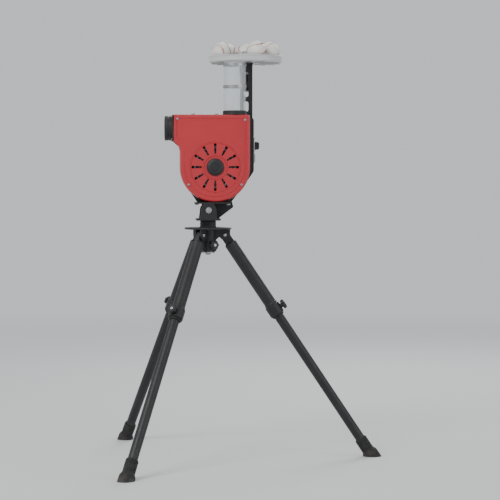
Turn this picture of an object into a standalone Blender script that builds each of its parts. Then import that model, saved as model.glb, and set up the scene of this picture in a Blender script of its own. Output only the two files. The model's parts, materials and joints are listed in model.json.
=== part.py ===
"""Single-wheel baseball pitching machine on a folding tripod, with a carousel ball feeder.

Metres, +Z up. The ball is thrown along -X, the machine's left side faces -Y, and the origin is on
the ground under the middle of the three feet.
"""
import math

import bmesh
import bpy
from mathutils import Matrix, Vector

# ---- driving dimensions (metres, degrees) ----
GAP = 0.0003  # between pieces that touch
HUB_X = -0.1573  # the tripod's upright axis
FOOT_R = 0.620  # foot circle
LEG_ANGLES = (0.0, 120.0, -120.0)  # one leg behind, two in front
PIN_R = 0.062  # leg hinge pins, from the upright axis
PIN_Z = 0.838
LEG_TILT = math.atan((FOOT_R - PIN_R) / PIN_Z)  # from the vertical, feet on the ground
HUB_TOP = 0.890
SLEEVE_BOTTOM = 0.776
SLEEVE_R = 0.030
POST_R = 0.0188
LUG_IN = 0.0083  # half the gap between a leg's two lugs
LUG_OUT = 0.0143

SOCKET_R = 0.023
SOCKET_TOP = 0.035  # distances down a leg, from its hinge pin
SOCKET_BORE_END = 0.064
SOCKET_END = 0.360
TUBE_R = 0.018
TUBE_WALL = 0.002
TUBE_END = 0.975
FOOT_TOP = 0.925
CLAMP_AT = 0.339

PIVOT_Z = 0.930  # tilt pivot, on the upright axis
CHEEK_IN = 0.0523
CHEEK_OUT = 0.0583
QUADRANT_R = 0.080
LOCK_ANGLE = 60.0  # tilt lock on its slot with the head level

WHEEL_X = HUB_X + 0.025
WHEEL_Z = 1.090
WHEEL_R = 0.110
SHELL_R = 0.130
SHELL_TOP = 1.285
SHELL_HALF = 0.0457
SCREW_SPOTS = ((-0.140, 1.2690), (0.1110, 1.2650), (-0.098, 1.0250), (0.098, 1.0250))  # x from the wheel, z
SHELL_WALL = 0.004
BARREL_FRONT = 0.155  # ahead of the wheel's axle
BARREL_LOW = 1.185
PLATE_IN = 0.0460  # main frame plate, on the motor's side of the shells
PLATE_OUT = 0.0520
FLANGE_LOW = 0.9537

BALL_R = 0.03675
PATH_Z = 1.235  # middle of the ball's way out
DROP_X = WHEEL_X + 0.075
BORE_R = 0.0395
POCKETS = 7
POCKET_RING = 0.0925
DROP_ANGLE = math.radians(240.0)  # of the drop hole, seen from the tray's middle
TRAY_X = DROP_X - POCKET_RING * math.cos(DROP_ANGLE)
TRAY_Y = -POCKET_RING * math.sin(DROP_ANGLE)
TRAY_Z = 1.484  # under side of the tray
TRAY_R = 0.137
TRAY_FLOOR = 0.003

BOX_X0 = WHEEL_X + 0.060
BOX_X1 = WHEEL_X + 0.150
BOX_Y0 = PLATE_OUT + GAP
BOX_Y1 = 0.125
BOX_Z0 = 1.105
BOX_Z1 = 1.205
PANEL_X = BOX_X1 + GAP
PANEL_OUT = PANEL_X + 0.003

RED = (0.52, 0.035, 0.03)
BLACK = (0.018, 0.018, 0.02)
ALONG_Y = (-math.pi / 2, 0.0, 0.0)  # turns a piece's +Z to +Y
ALONG_X = (0.0, math.pi / 2, 0.0)  # turns a piece's +Z to +X

for old in list(bpy.data.objects):
    bpy.data.objects.remove(old, do_unlink=True)
parts = bpy.data.collections.new("pitching_machine")
cutters = bpy.data.collections.new("cutters")
bpy.context.scene.collection.children.link(parts)
bpy.context.scene.collection.children.link(cutters)


# ---- tools ----
def material(name, colour, roughness, metallic=0.0, alpha=1.0):
    """A Principled material."""
    mat = bpy.data.materials.get(name) or bpy.data.materials.new(name)
    mat.use_nodes = True
    shader = mat.node_tree.nodes["Principled BSDF"]
    shader.inputs["Base Color"].default_value = (*colour, 1.0)
    shader.inputs["Roughness"].default_value = roughness
    shader.inputs["Metallic"].default_value = metallic
    shader.inputs["Alpha"].default_value = alpha
    return mat


def place(obj, parent=None, location=(0, 0, 0), rotation=(0, 0, 0)):
    obj.location = location
    obj.rotation_euler = rotation
    obj.parent = parent
    return obj


def as_part(obj, mat):
    """Puts a piece in the part's collection with its own material."""
    parts.objects.link(obj)
    obj.data.materials.clear()
    obj.data.materials.append(mat)
    return obj


def as_cutter(obj):
    """Puts a cutter, or a shape to be joined on, in the other collection."""
    cutters.objects.link(obj)
    obj.hide_render = True
    obj.display_type = "WIRE"
    return obj


def boolean(obj, tool, operation="DIFFERENCE"):
    mod = obj.modifiers.new(tool.name, "BOOLEAN")
    mod.operation = operation
    mod.solver = "EXACT"
    mod.object = as_cutter(tool)


def smooth(mesh, angle=35.0):
    mesh.shade_smooth()
    mesh.set_sharp_from_angle(angle=math.radians(angle))


def box(name, low, high, bevel=0.0):
    """A box between two corners, in its parent's frame."""
    bm = bmesh.new()
    bmesh.ops.create_cube(bm, size=1.0)
    size = [b - a for a, b in zip(low, high)]
    bmesh.ops.scale(bm, vec=size, verts=bm.verts)
    bmesh.ops.translate(bm, vec=[(a + b) / 2 for a, b in zip(low, high)], verts=bm.verts)
    if bevel:
        bmesh.ops.bevel(bm, geom=bm.edges[:], offset=bevel, segments=2, affect="EDGES")
    mesh = bpy.data.meshes.new(name)
    bm.to_mesh(mesh)
    bm.free()
    return bpy.data.objects.new(name, mesh)


def rod(name, radius, low, high, sides=20, spots=((0.0, 0.0),)):
    """One or more upright cylinders in one mesh, between two heights."""
    bm = bmesh.new()
    for x, y in spots:
        where = Matrix.Translation((x, y, (low + high) / 2))
        bmesh.ops.create_cone(bm, cap_ends=True, segments=sides, radius1=radius, radius2=radius,
                              depth=high - low, matrix=where)
    mesh = bpy.data.meshes.new(name)
    bm.to_mesh(mesh)
    bm.free()
    return bpy.data.objects.new(name, mesh)


def turned(name, profile, sides=32, closed=False):
    """A profile of (radius, height) points, running down its outer side, turned about Z."""
    mesh = bpy.data.meshes.new(name)
    count = len(profile)
    edges = [(i, i + 1) for i in range(count - 1)]
    if closed:
        edges.append((count - 1, 0))
    mesh.from_pydata([(r, 0.0, h) for r, h in profile], edges, [])
    obj = bpy.data.objects.new(name, mesh)
    screw = obj.modifiers.new("turn", "SCREW")
    screw.steps = sides
    screw.render_steps = sides
    screw.use_merge_vertices = True
    screw.merge_threshold = 0.00001
    screw.use_smooth_shade = False
    return obj


def arc(centre, radius, start, end, steps):
    """Points of an arc, from one angle to another in degrees, both ends included."""
    angles = [math.radians(start + (end - start) * i / steps) for i in range(steps + 1)]
    return [(centre[0] + radius * math.cos(a), centre[1] + radius * math.sin(a)) for a in angles]


def ring(centre, radius, steps=20):
    return arc(centre, radius, 0.0, 360.0, steps)[:-1]


def plate(name, outlines, low, high):
    """Flat outlines in local X and Y, the later ones holes, with material from low to high in Z."""
    curve = bpy.data.curves.new(name, "CURVE")
    curve.dimensions = "2D"
    curve.fill_mode = "BOTH"
    curve.extrude = (high - low) / 2
    for outline in outlines:
        spline = curve.splines.new("POLY")
        spline.points.add(len(outline) - 1)
        for point, (x, y) in zip(spline.points, outline):
            point.co = (x, y, 0.0, 1.0)
        spline.use_cyclic_u = True
    flat = bpy.data.objects.new(name + "_curve", curve)
    cutters.objects.link(flat)
    graph = bpy.context.evaluated_depsgraph_get()
    mesh = bpy.data.meshes.new_from_object(flat.evaluated_get(graph))
    bpy.data.objects.remove(flat)
    bm = bmesh.new()
    bm.from_mesh(mesh)
    bmesh.ops.remove_doubles(bm, verts=bm.verts, dist=0.00001)
    bmesh.ops.dissolve_limit(bm, angle_limit=0.01, verts=bm.verts, edges=bm.edges)
    bmesh.ops.translate(bm, vec=(0, 0, (low + high) / 2), verts=bm.verts)
    bmesh.ops.recalc_face_normals(bm, faces=bm.faces)
    bm.to_mesh(mesh)
    bm.free()
    mesh.name = name
    return bpy.data.objects.new(name, mesh)


def upright_plate(name, outlines, y_low, y_high):
    """A plate whose outline is in X and Z, with material between two Y values."""
    obj = plate(name, outlines, -y_high, -y_low)
    obj.data.transform(Matrix.Rotation(math.pi / 2, 4, "X"))
    return obj


def round_rim(obj, y_side, width, segments=3):
    """Rounds the edge around the face that lies at one Y value."""
    bm = bmesh.new()
    bm.from_mesh(obj.data)
    rim = [e for e in bm.edges if all(abs(v.co.y - y_side) < 1e-5 for v in e.verts)
           and len(e.link_faces) == 2 and e.calc_face_angle(0.0) > 1.0]
    bmesh.ops.bevel(bm, geom=rim, offset=width, segments=segments, affect="EDGES", profile=0.5)
    bm.to_mesh(obj.data)
    bm.free()


def hexagon(radius):
    return ring((0.0, 0.0), radius, 6)


def knob_shape(name, radius, height, neck, tip, stud=0.004, lobes=6):
    """A lobed clamping knob on a stud: its base is at height neck, and the stud's tip at tip."""
    top = neck + 0.003 + height
    profile = [(0, top), (radius * 0.78, top), (radius, top - 0.003), (radius, neck + 0.005),
               (radius * 0.86, neck + 0.003), (0.009, neck + 0.003), (0.009, neck),
               (stud, neck), (stud, tip), (0, tip)]
    obj = turned(name, profile, 18)
    spots = [(radius * 1.16 * math.cos(a), radius * 1.16 * math.sin(a))
             for a in (2 * math.pi * i / lobes for i in range(lobes))]
    boolean(obj, rod(name + "_grips", radius * 0.32, neck + 0.001, top + 0.004, 8, spots))
    return obj


def attach_cutters(obj):
    """Lets a piece's cutters sit in the piece's own frame."""
    for mod in obj.modifiers:
        if mod.type == "BOOLEAN" and mod.object.parent is None:
            mod.object.parent = obj


# ---- materials ----
black_steel = material("black_steel", BLACK, 0.45, 0.3)
zinc = material("zinc_steel", (0.55, 0.56, 0.58), 0.35, 1.0)
red_shell = material("red_shell", RED, 0.4)
rubber = material("rubber", (0.02, 0.02, 0.02), 0.85)
black_plastic = material("black_plastic", (0.025, 0.025, 0.027), 0.5)
alloy = material("alloy", (0.62, 0.63, 0.65), 0.4, 1.0)
dark_can = material("motor_black", (0.03, 0.03, 0.032), 0.4, 0.2)
clear_tube = material("clear_tube", (0.75, 0.77, 0.78), 0.15, 0.0, 0.45)
grey_plastic = material("grey_plastic", (0.62, 0.63, 0.64), 0.45)
ball_leather = material("ball_leather", (0.82, 0.81, 0.77), 0.55)


# ---- tripod ----
def make_hub():
    profile = [(SLEEVE_R, HUB_TOP), (SLEEVE_R, 0.866), (0.086, 0.866), (0.088, 0.863),
               (0.086, 0.858), (SLEEVE_R, 0.858), (SLEEVE_R, SLEEVE_BOTTOM),
               (POST_R + GAP, SLEEVE_BOTTOM), (POST_R + GAP, HUB_TOP)]
    hub = as_part(turned("tripod_hub", profile, 28, closed=True), black_steel)
    place(hub, location=(HUB_X, 0, 0))
    lug = [(0.026, 0.8585), (0.026, 0.816)] + arc((PIN_R, PIN_Z), 0.020, 200.0, 360.0, 5) + [(0.082, 0.8585)]
    for leg, angle in enumerate(LEG_ANGLES):
        for side in (-1, 1):
            low, high = sorted((side * LUG_IN, side * LUG_OUT))
            tool = upright_plate(f"lug_{leg}_{side}", [lug, ring((PIN_R, PIN_Z), 0.0047, 8)], low, high)
            boolean(hub, place(tool, hub, rotation=(0, 0, math.radians(angle))), "UNION")
    screw_hole = rod("swivel_lock_hole", 0.0043, 0.015, 0.036, 14)
    turn = Matrix.Rotation(math.radians(300.0), 4, "Z") @ Matrix.Rotation(math.pi / 2, 4, "Y")
    screw_hole.data.transform(Matrix.Translation((0, 0, 0.800)) @ turn)
    boolean(hub, place(screw_hole, hub))
    lock = as_part(knob_shape("swivel_lock_knob", 0.018, 0.016, SLEEVE_R + GAP, POST_R + GAP), black_plastic)
    place(lock, location=(HUB_X, 0, 0.800), rotation=(0, math.pi / 2, math.radians(300.0)))
    attach_cutters(lock)


def make_leg(number, angle):
    """A leg in its own frame: origin on the hinge pin, +Y along the pin, -Z down the leg."""
    turn = math.radians(angle)
    frame = bpy.data.objects.new(f"leg_frame_{number}", None)
    parts.objects.link(frame)
    place(frame, location=(HUB_X + PIN_R * math.cos(turn), PIN_R * math.sin(turn), PIN_Z),
          rotation=(0, -LEG_TILT, turn))

    pin = [(0, 0.0186), (0.005, 0.0186), (0.0075, 0.0166), (0.0075, 0.0146), (0.004, 0.0146),
           (0.004, -0.0146), (0.0075, -0.0146), (0.0075, -0.0166), (0.005, -0.0186), (0, -0.0186)]
    place(as_part(turned(f"leg_hinge_pin_{number}", pin, 10), zinc), frame, rotation=ALONG_Y)

    bore = TUBE_R + GAP
    profile = [(0, -SOCKET_TOP), (0.019, -SOCKET_TOP), (SOCKET_R, -SOCKET_TOP - 0.004), (SOCKET_R, -0.314),
               (0.028, -0.319), (0.028, -0.358), (0.0265, -SOCKET_END), (bore, -SOCKET_END),
               (bore, -SOCKET_BORE_END), (0, -SOCKET_BORE_END)]
    socket = as_part(turned(f"leg_socket_{number}", profile, 18), black_steel)
    tang = arc((0, 0), 0.017, 0.0, 180.0, 6) + [(-0.017, -0.048), (0.017, -0.048)]
    boolean(socket, upright_plate(f"tang_{number}", [tang, ring((0, 0), 0.0050, 8)], -0.008, 0.008), "UNION")
    hole = rod(f"clamp_hole_{number}", 0.0043, 0.010, 0.040, 14)
    hole.data.transform(Matrix.Translation((0, 0, -CLAMP_AT)) @ Matrix.Rotation(math.pi / 2, 4, "Y"))
    boolean(socket, hole)
    attach_cutters(place(socket, frame))

    top = -SOCKET_BORE_END - GAP
    inner = TUBE_R - TUBE_WALL
    tube = turned(f"leg_tube_{number}", [(TUBE_R, top), (TUBE_R, -TUBE_END), (inner, -TUBE_END), (inner, top)],
                  18, closed=True)
    place(as_part(tube, black_steel), frame)

    foot = turned(f"leg_foot_{number}", [
        (0, -TUBE_END - GAP), (bore, -TUBE_END - GAP), (bore, -FOOT_TOP), (0.0215, -FOOT_TOP),
        (0.0228, -0.930), (0.0235, -0.968), (0.0300, -0.988), (0.0300, -1.070), (0, -1.070)], 18)
    place(as_part(foot, rubber), frame)
    ground = box(f"ground_{number}", (-1.0, -1.0, -0.2), (1.0, 1.0, 0.0))
    boolean(foot, ground)

    lock = as_part(knob_shape(f"leg_lock_knob_{number}", 0.018, 0.015, 0.028 + GAP, TUBE_R + GAP), black_plastic)
    attach_cutters(place(lock, frame, (0, 0, -CLAMP_AT), ALONG_X))


# ---- swivel and tilt ----
def make_yoke():
    yoke = as_part(box("tilt_yoke", (-0.045, -CHEEK_OUT, 0.8915), (0.045, CHEEK_OUT, 0.8995), 0.0015), black_steel)
    place(yoke, location=(HUB_X, 0, 0))
    boolean(yoke, rod("swivel_post", POST_R, SLEEVE_BOTTOM, 0.895, 24), "UNION")
    boolean(yoke, rod("post_bore", 0.005 + GAP, 0.70, 0.802, 16))
    pivot = (0.0, PIVOT_Z)
    hole = ring(pivot, 0.005 + GAP, 16)
    left = [(0.032, 0.897)] + arc(pivot, 0.028, 0.0, 180.0, 12) + [(-0.032, 0.897)]
    boolean(yoke, upright_plate("cheek_left", [left, hole], -CHEEK_OUT, -CHEEK_IN), "UNION")
    right = [(0.043, 0.897)] + arc(pivot, 0.098, 6.0, 84.0, 14) + arc(pivot, 0.028, 105.0, 180.0, 6)
    right.append((-0.032, 0.897))
    slot = arc(pivot, QUADRANT_R + 0.0045, 16.0, 74.0, 12)
    end = (pivot[0] + QUADRANT_R * math.cos(math.radians(74)), pivot[1] + QUADRANT_R * math.sin(math.radians(74)))
    slot += arc(end, 0.0045, 74.0, 254.0, 6)[1:-1]
    slot += arc(pivot, QUADRANT_R - 0.0045, 74.0, 16.0, 12)
    start = (pivot[0] + QUADRANT_R * math.cos(math.radians(16)), pivot[1] + QUADRANT_R * math.sin(math.radians(16)))
    slot += arc(start, 0.0045, 196.0, 376.0, 6)[1:-1]
    boolean(yoke, upright_plate("cheek_right", [right, hole, slot], CHEEK_IN, CHEEK_OUT), "UNION")
    attach_cutters(yoke)

    bolt = turned("swivel_retainer_bolt", [
        (0, 0.800), (0.0045, 0.800), (0.005, 0.799), (0.005, SLEEVE_BOTTOM - GAP), (0.026, SLEEVE_BOTTOM - GAP),
        (0.026, 0.7700), (0.0095, 0.7700), (0.0095, 0.7640), (0, 0.7640)], 16)
    place(as_part(bolt, zinc), location=(HUB_X, 0, 0))

    bolt = as_part(rod("tilt_pivot_bolt", 0.005, -0.0620, 0.0660, 16), zinc)
    boolean(bolt, plate("tilt_bolt_head", [hexagon(0.0092)], -0.0650, -CHEEK_OUT - GAP), "UNION")
    attach_cutters(place(bolt, location=(HUB_X, 0, PIVOT_Z), rotation=ALONG_Y))
    nut = as_part(plate("tilt_pivot_nut", [hexagon(0.0092), ring((0, 0), 0.005 + GAP, 16)],
                        CHEEK_OUT + GAP, CHEEK_OUT + 0.0065), zinc)
    place(nut, location=(HUB_X, 0, PIVOT_Z), rotation=ALONG_Y)

    a = math.radians(LOCK_ANGLE)
    lock = as_part(knob_shape("tilt_lock_knob", 0.021, 0.016, CHEEK_OUT + GAP, PLATE_IN + GAP), black_plastic)
    place(lock, location=(HUB_X + QUADRANT_R * math.cos(a), 0, PIVOT_Z + QUADRANT_R * math.sin(a)), rotation=ALONG_Y)
    attach_cutters(lock)


# ---- head ----
def make_main_frame():
    """One welded piece: motor plate, foot flange and two tilt lugs, in the wheel's frame."""
    a = math.radians(LOCK_ANGLE)
    lock = (HUB_X - WHEEL_X + QUADRANT_R * math.cos(a), PIVOT_Z + QUADRANT_R * math.sin(a))
    outline = [(-0.060, FLANGE_LOW), (0.060, FLANGE_LOW), (0.112, 1.020), (0.150, 1.075)]
    outline += arc((0.138, 1.265), 0.012, 0.0, 90.0, 4) + arc((-0.103, 1.265), 0.012, 90.0, 180.0, 4)
    outline += [(-0.115, 1.070), (-0.098, 1.010)]
    holes = [ring((0.0, WHEEL_Z), 0.0260, 20), ring(lock, 0.0043, 14)]
    frame = as_part(upright_plate("main_frame", [outline] + holes, PLATE_IN, PLATE_OUT), black_steel)
    place(frame, location=(WHEEL_X, 0, 0))
    boolean(frame, box("foot_flange", (-0.075, 0.0003 - PLATE_OUT, FLANGE_LOW + 0.0003), (0.058, 0.047, 0.9597)), "UNION")
    pivot = (HUB_X - WHEEL_X, PIVOT_Z)
    lug = [(pivot[0] + 0.0215, 0.9550), (pivot[0] - 0.0215, 0.9550)] + arc(pivot, 0.0215, 180.0, 360.0, 12)
    for side, (low, high) in enumerate(((-PLATE_OUT, -0.044), (0.044, PLATE_OUT - 0.0004))):
        tool = upright_plate(f"tilt_lug_{side}", [lug, ring(pivot, 0.005 + GAP, 16)], low, high)
        boolean(frame, tool, "UNION")
    attach_cutters(frame)


def shell_outline(inset, front):
    """The red shells' side outline about the axle's X: a drum below, squared above, with a barrel."""
    r = SHELL_R - inset
    corner = 0.012 - inset / 2
    points = [(-front, BARREL_LOW + inset), (-front, SHELL_TOP - inset)]
    points += arc((r - corner, SHELL_TOP - inset - corner), corner, 90.0, 0.0, 3)
    points += arc((0.0, WHEEL_Z), r, 0.0, -180.0, 22)
    points.append((-r, BARREL_LOW - 0.022 + inset))
    return points


def make_shells():
    for name, side in (("housing_left", -1), ("housing_right", 1)):
        outer = sorted((side * SHELL_HALF, side * GAP / 2))
        shell = upright_plate(name, [shell_outline(0.0, BARREL_FRONT)], *outer)
        round_rim(shell, side * SHELL_HALF, 0.007, 2)
        as_part(shell, red_shell)
        place(shell, location=(WHEEL_X, 0, 0))
        inner = sorted((side * (SHELL_HALF - SHELL_WALL), -side * 0.02))
        boolean(shell, upright_plate(name + "_hollow", [shell_outline(SHELL_WALL, BARREL_FRONT + 0.02)], *inner))
        boolean(shell, rod(name + "_inlet", BORE_R + GAP, 1.27, 1.30, 22, [(DROP_X - WHEEL_X, 0.0)]))
        if side < 0:
            vents = []
            for i in range(12):
                a = 2 * math.pi * i / 12
                vents.append((a, 0.052, 0.086))
            boolean(shell, vent_cutter(vents))
            hub_hole = rod("hub_cap_hole", 0.012, 0.03, 0.06, 14)
            hub_hole.data.transform(Matrix.Translation((0, 0, WHEEL_Z)) @ Matrix.Rotation(math.pi / 2, 4, "X"))
            boolean(shell, hub_hole)
            for i, (x, z) in enumerate(SCREW_SPOTS):
                hole = rod(f"screw_hole_{i}", 0.0023, 0.038, 0.050, 8)
                hole.data.transform(Matrix.Translation((x, 0, z)) @ Matrix.Rotation(math.pi / 2, 4, "X"))
                boolean(shell, hole)
        else:
            shaft_hole = rod("shaft_hole", 0.030, -0.06, -0.03, 20)
            shaft_hole.data.transform(Matrix.Translation((0, 0, WHEEL_Z)) @ Matrix.Rotation(math.pi / 2, 4, "X"))
            boolean(shell, shaft_hole)
        attach_cutters(shell)


def vent_cutter(vents):
    """Radial slots with square ends, around the hub, through the left shell's side."""
    bm = bmesh.new()
    for angle, near, far in vents:
        where = (Matrix.Translation((0, -SHELL_HALF, WHEEL_Z)) @ Matrix.Rotation(angle, 4, "Y")
                 @ Matrix.Translation(((near + far) / 2, 0, 0)) @ Matrix.Diagonal((far - near, 0.02, 0.007, 1.0)))
        bmesh.ops.create_cube(bm, size=1.0, matrix=where)
    mesh = bpy.data.meshes.new("vents")
    bm.to_mesh(mesh)
    bm.free()
    return bpy.data.objects.new("vents", mesh)


def make_shell_fittings():
    cap = turned("hub_cap", [(0, 0.0555), (0.020, 0.0550), (0.030, 0.0520), (0.032, 0.0495),
                             (0.032, SHELL_HALF + GAP), (0.0113, SHELL_HALF + GAP), (0.0113, 0.0420), (0, 0.0420)], 24)
    place(as_part(cap, black_plastic), location=(WHEEL_X, 0, WHEEL_Z), rotation=(math.pi / 2, 0, 0))
    head = SHELL_HALF + GAP
    for i, (x, z) in enumerate(SCREW_SPOTS):
        screw = turned(f"cover_screw_{i + 1}", [(0, head + 0.0026), (0.0025, head + 0.0024), (0.0042, head + 0.0010),
                                                (0.0042, head), (0.002, head), (0.002, 0.0400), (0, 0.0400)], 10)
        place(as_part(screw, zinc), location=(WHEEL_X + x, 0, z), rotation=(math.pi / 2, 0, 0))
    base = BARREL_FRONT + GAP
    collar = turned("muzzle_collar", [
        (0.0425, 0.187), (0.0460, 0.184), (0.0460, base + 0.0006), (BORE_R, base + 0.0006), (BORE_R, 0.184),
        (0.0405, 0.187)], 24, closed=True)
    flange = box("collar_flange", (-0.0485, -0.0455, base), (0.0485, 0.0455, base + 0.0045), 0.001)
    boolean(flange, rod("collar_hole", 0.0425, 0.150, 0.165, 24))
    attach_cutters(flange)
    boolean(collar, flange, "UNION")
    place(as_part(collar, black_plastic), location=(WHEEL_X, 0, PATH_Z), rotation=(0, -math.pi / 2, 0))
    attach_cutters(collar)

    trough = as_part(box("feed_trough", (-0.040, -0.0403, 0.0), (0.0395, 0.0403, 0.046)), alloy)
    boolean(trough, box("trough_hollow", (-0.050, -0.0378, 0.003), (0.0370, 0.0378, 0.060)))
    place(trough, location=(WHEEL_X + 0.085, 0, 1.1985), rotation=(0, math.radians(-4.0), 0))
    attach_cutters(trough)

    plate_box = box("pinch_plate", (-0.098, -0.0370, 1.2703), (0.028, 0.0370, 1.2743), 0.001)
    place(as_part(plate_box, alloy), location=(WHEEL_X, 0, 0))
    pad = box("pinch_pad", (-0.060, -0.0330, 1.2620), (0.020, 0.0330, 1.2700), 0.002)
    place(as_part(pad, rubber), location=(WHEEL_X, 0, 0))


def make_wheel():
    """Wheel, tyre, nut and the motor's armature, all on the axle along Y."""
    spot = (WHEEL_X, 0, WHEEL_Z)
    rim = turned("wheel_rim", [
        (0.0777, 0.0262), (0.0777, -0.0262), (0.0690, -0.0262), (0.0660, -0.0045), (0.0180, -0.0045),
        (0.0180, -0.0275), (0.006 + GAP, -0.0275), (0.006 + GAP, 0.0275), (0.0180, 0.0275), (0.0180, 0.0045),
        (0.0660, 0.0045), (0.0690, 0.0262)], 30, closed=True)
    spots = [(0.042 * math.cos(a), 0.042 * math.sin(a)) for a in (2 * math.pi * i / 6 for i in range(6))]
    boolean(rim, rod("rim_holes", 0.0135, -0.02, 0.02, 12, spots))
    attach_cutters(place(as_part(rim, alloy), location=spot, rotation=ALONG_Y))
    grooves = []
    for i in range(-1, 2):
        y = -i * 0.0140
        grooves += [(WHEEL_R, y + 0.0028), (WHEEL_R - 0.0018, y + 0.0014), (WHEEL_R - 0.0018, y - 0.0014),
                    (WHEEL_R, y - 0.0028)]
    tyre = turned("wheel_tyre", [(0.1000, 0.0272), (0.1075, 0.0250)] + grooves + [
        (0.1075, -0.0250), (0.1000, -0.0272), (0.0780, -0.0272), (0.0780, 0.0272)], 30, closed=True)
    place(as_part(tyre, rubber), location=spot, rotation=ALONG_Y)
    nut = plate("wheel_nut", [hexagon(0.0115), ring((0, 0), 0.006 + GAP, 16)], -0.0385, -0.0278)
    place(as_part(nut, zinc), location=spot, rotation=ALONG_Y)
    shaft = turned("motor_armature", [
        (0, 0.155), (0.005, 0.155), (0.005, 0.143), (0.013, 0.143), (0.013, 0.130), (0.007, 0.130), (0.007, 0.122),
        (0.032, 0.122), (0.032, 0.078), (0.007, 0.078), (0.007, 0.068), (0.006, 0.067), (0.006, -0.0395),
        (0, -0.0395)], 14)
    place(as_part(shaft, zinc), location=spot, rotation=ALONG_Y)


def make_motor():
    spot = (WHEEL_X, 0, WHEEL_Z)
    base = PLATE_OUT + GAP
    front = turned("motor_front_bell", [
        (0.0452, 0.0720), (0.0452, 0.0560), (0.0430, base), (0.0253, base), (0.0253, 0.0465), (0.0070, 0.0465),
        (0.0070, 0.0640), (0.0380, 0.0640), (0.0380, 0.0720)], 24, closed=True)
    place(as_part(front, alloy), location=spot, rotation=ALONG_Y)
    can = turned("motor_can", [(0.0452, 0.1497), (0.0452, 0.0723), (0.0412, 0.0723), (0.0412, 0.1497)], 24, closed=True)
    place(as_part(can, dark_can), location=spot, rotation=ALONG_Y)
    rear = turned("motor_rear_bell", [
        (0, 0.170), (0.030, 0.170), (0.0420, 0.166), (0.0452, 0.161), (0.0452, 0.150), (0.0380, 0.150),
        (0.0380, 0.158), (0.018, 0.158), (0.018, 0.146), (0.005 + GAP, 0.146), (0.005 + GAP, 0.158), (0, 0.158)], 24)
    place(as_part(rear, alloy), location=spot, rotation=ALONG_Y)


# ---- control box ----
def make_controls():
    case = as_part(box("control_box", (BOX_X0, BOX_Y0, BOX_Z0), (BOX_X1, BOX_Y1, BOX_Z1), 0.0018), black_plastic)
    boolean(case, box("case_hollow", (BOX_X0 + 0.003, BOX_Y0 + 0.003, BOX_Z0 + 0.003),
                      (BOX_X1 + 0.02, BOX_Y1 - 0.003, BOX_Z1 - 0.003)))
    attach_cutters(case)
    knob_y, knob_z = 0.0885, 1.172
    switch_y, switch_z = 0.109, 1.126
    inlet_y, inlet_z = 0.0755, 1.126
    panel = as_part(box("control_panel", (PANEL_X, BOX_Y0 + 0.0005, BOX_Z0 + 0.0005),
                        (PANEL_OUT, BOX_Y1 - 0.0005, BOX_Z1 - 0.0005), 0.0006), alloy)
    hole = rod("knob_hole", 0.0043, -0.02, 0.02, 14)
    hole.data.transform(Matrix.Translation((PANEL_X, knob_y, knob_z)) @ Matrix.Rotation(math.pi / 2, 4, "Y"))
    boolean(panel, hole)
    boolean(panel, box("switch_hole", (PANEL_X - 0.02, switch_y - 0.008, switch_z - 0.011),
                       (PANEL_OUT + 0.02, switch_y + 0.008, switch_z + 0.011)))
    boolean(panel, box("inlet_hole", (PANEL_X - 0.02, inlet_y - 0.0135, inlet_z - 0.0100),
                       (PANEL_OUT + 0.02, inlet_y + 0.0135, inlet_z + 0.0100)))
    attach_cutters(panel)

    face = PANEL_OUT + GAP - PANEL_OUT
    knob = turned("speed_knob", [
        (0, 0.0190), (0.0125, 0.0190), (0.0140, 0.0175), (0.0150, 0.0050), (0.0185, 0.0035), (0.0185, face),
        (0.004, face), (0.004, -0.012), (0, -0.012)], 20)
    as_part(knob, black_plastic)
    boolean(knob, box("knob_pointer", (-0.0008, 0.006, 0.0180), (0.0008, 0.016, 0.0200)))
    attach_cutters(place(knob, location=(PANEL_OUT, knob_y, knob_z), rotation=ALONG_X))

    bezel = as_part(box("switch_bezel", (PANEL_X - 0.010, switch_y - 0.0077, switch_z - 0.0107),
                        (PANEL_OUT + 0.0008, switch_y + 0.0077, switch_z + 0.0107)), black_plastic)
    boolean(bezel, box("bezel_lip", (PANEL_OUT + GAP, switch_y - 0.010, switch_z - 0.013),
                       (PANEL_OUT + 0.0025, switch_y + 0.010, switch_z + 0.013), 0.0006), "UNION")
    boolean(bezel, box("bezel_opening", (PANEL_X - 0.008, switch_y - 0.0062, switch_z - 0.0090),
                       (PANEL_OUT + 0.01, switch_y + 0.0062, switch_z + 0.0090)))
    attach_cutters(bezel)
    rocker = upright_plate("switch_rocker", [
        arc((0, 0), 0.0086, 75.0, 300.0, 18) + [(0.0022, 0.0)]], -0.0059, 0.0059)
    place(as_part(rocker, rubber), location=(PANEL_OUT + 0.0015, switch_y, switch_z))

    inlet = as_part(box("power_inlet", (PANEL_X - 0.022, inlet_y - 0.0132, inlet_z - 0.0097),
                        (PANEL_OUT + 0.001, inlet_y + 0.0132, inlet_z + 0.0097)), black_plastic)
    boolean(inlet, box("inlet_lip", (PANEL_OUT + GAP, inlet_y - 0.0165, inlet_z - 0.0130),
                       (PANEL_OUT + 0.0025, inlet_y + 0.0165, inlet_z + 0.0130), 0.0006), "UNION")
    boolean(inlet, box("inlet_recess", (PANEL_X - 0.018, inlet_y - 0.0112, inlet_z - 0.0077),
                       (PANEL_OUT + 0.01, inlet_y + 0.0112, inlet_z + 0.0077)))
    for i, (dy, dz) in enumerate(((-0.006, -0.0025), (0.0, 0.0025), (0.006, -0.0025))):
        boolean(inlet, box(f"inlet_blade_{i}", (PANEL_X - 0.019, inlet_y + dy - 0.001, inlet_z + dz - 0.002),
                           (PANEL_X - 0.003, inlet_y + dy + 0.001, inlet_z + dz + 0.002)), "UNION")
    attach_cutters(inlet)


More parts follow.
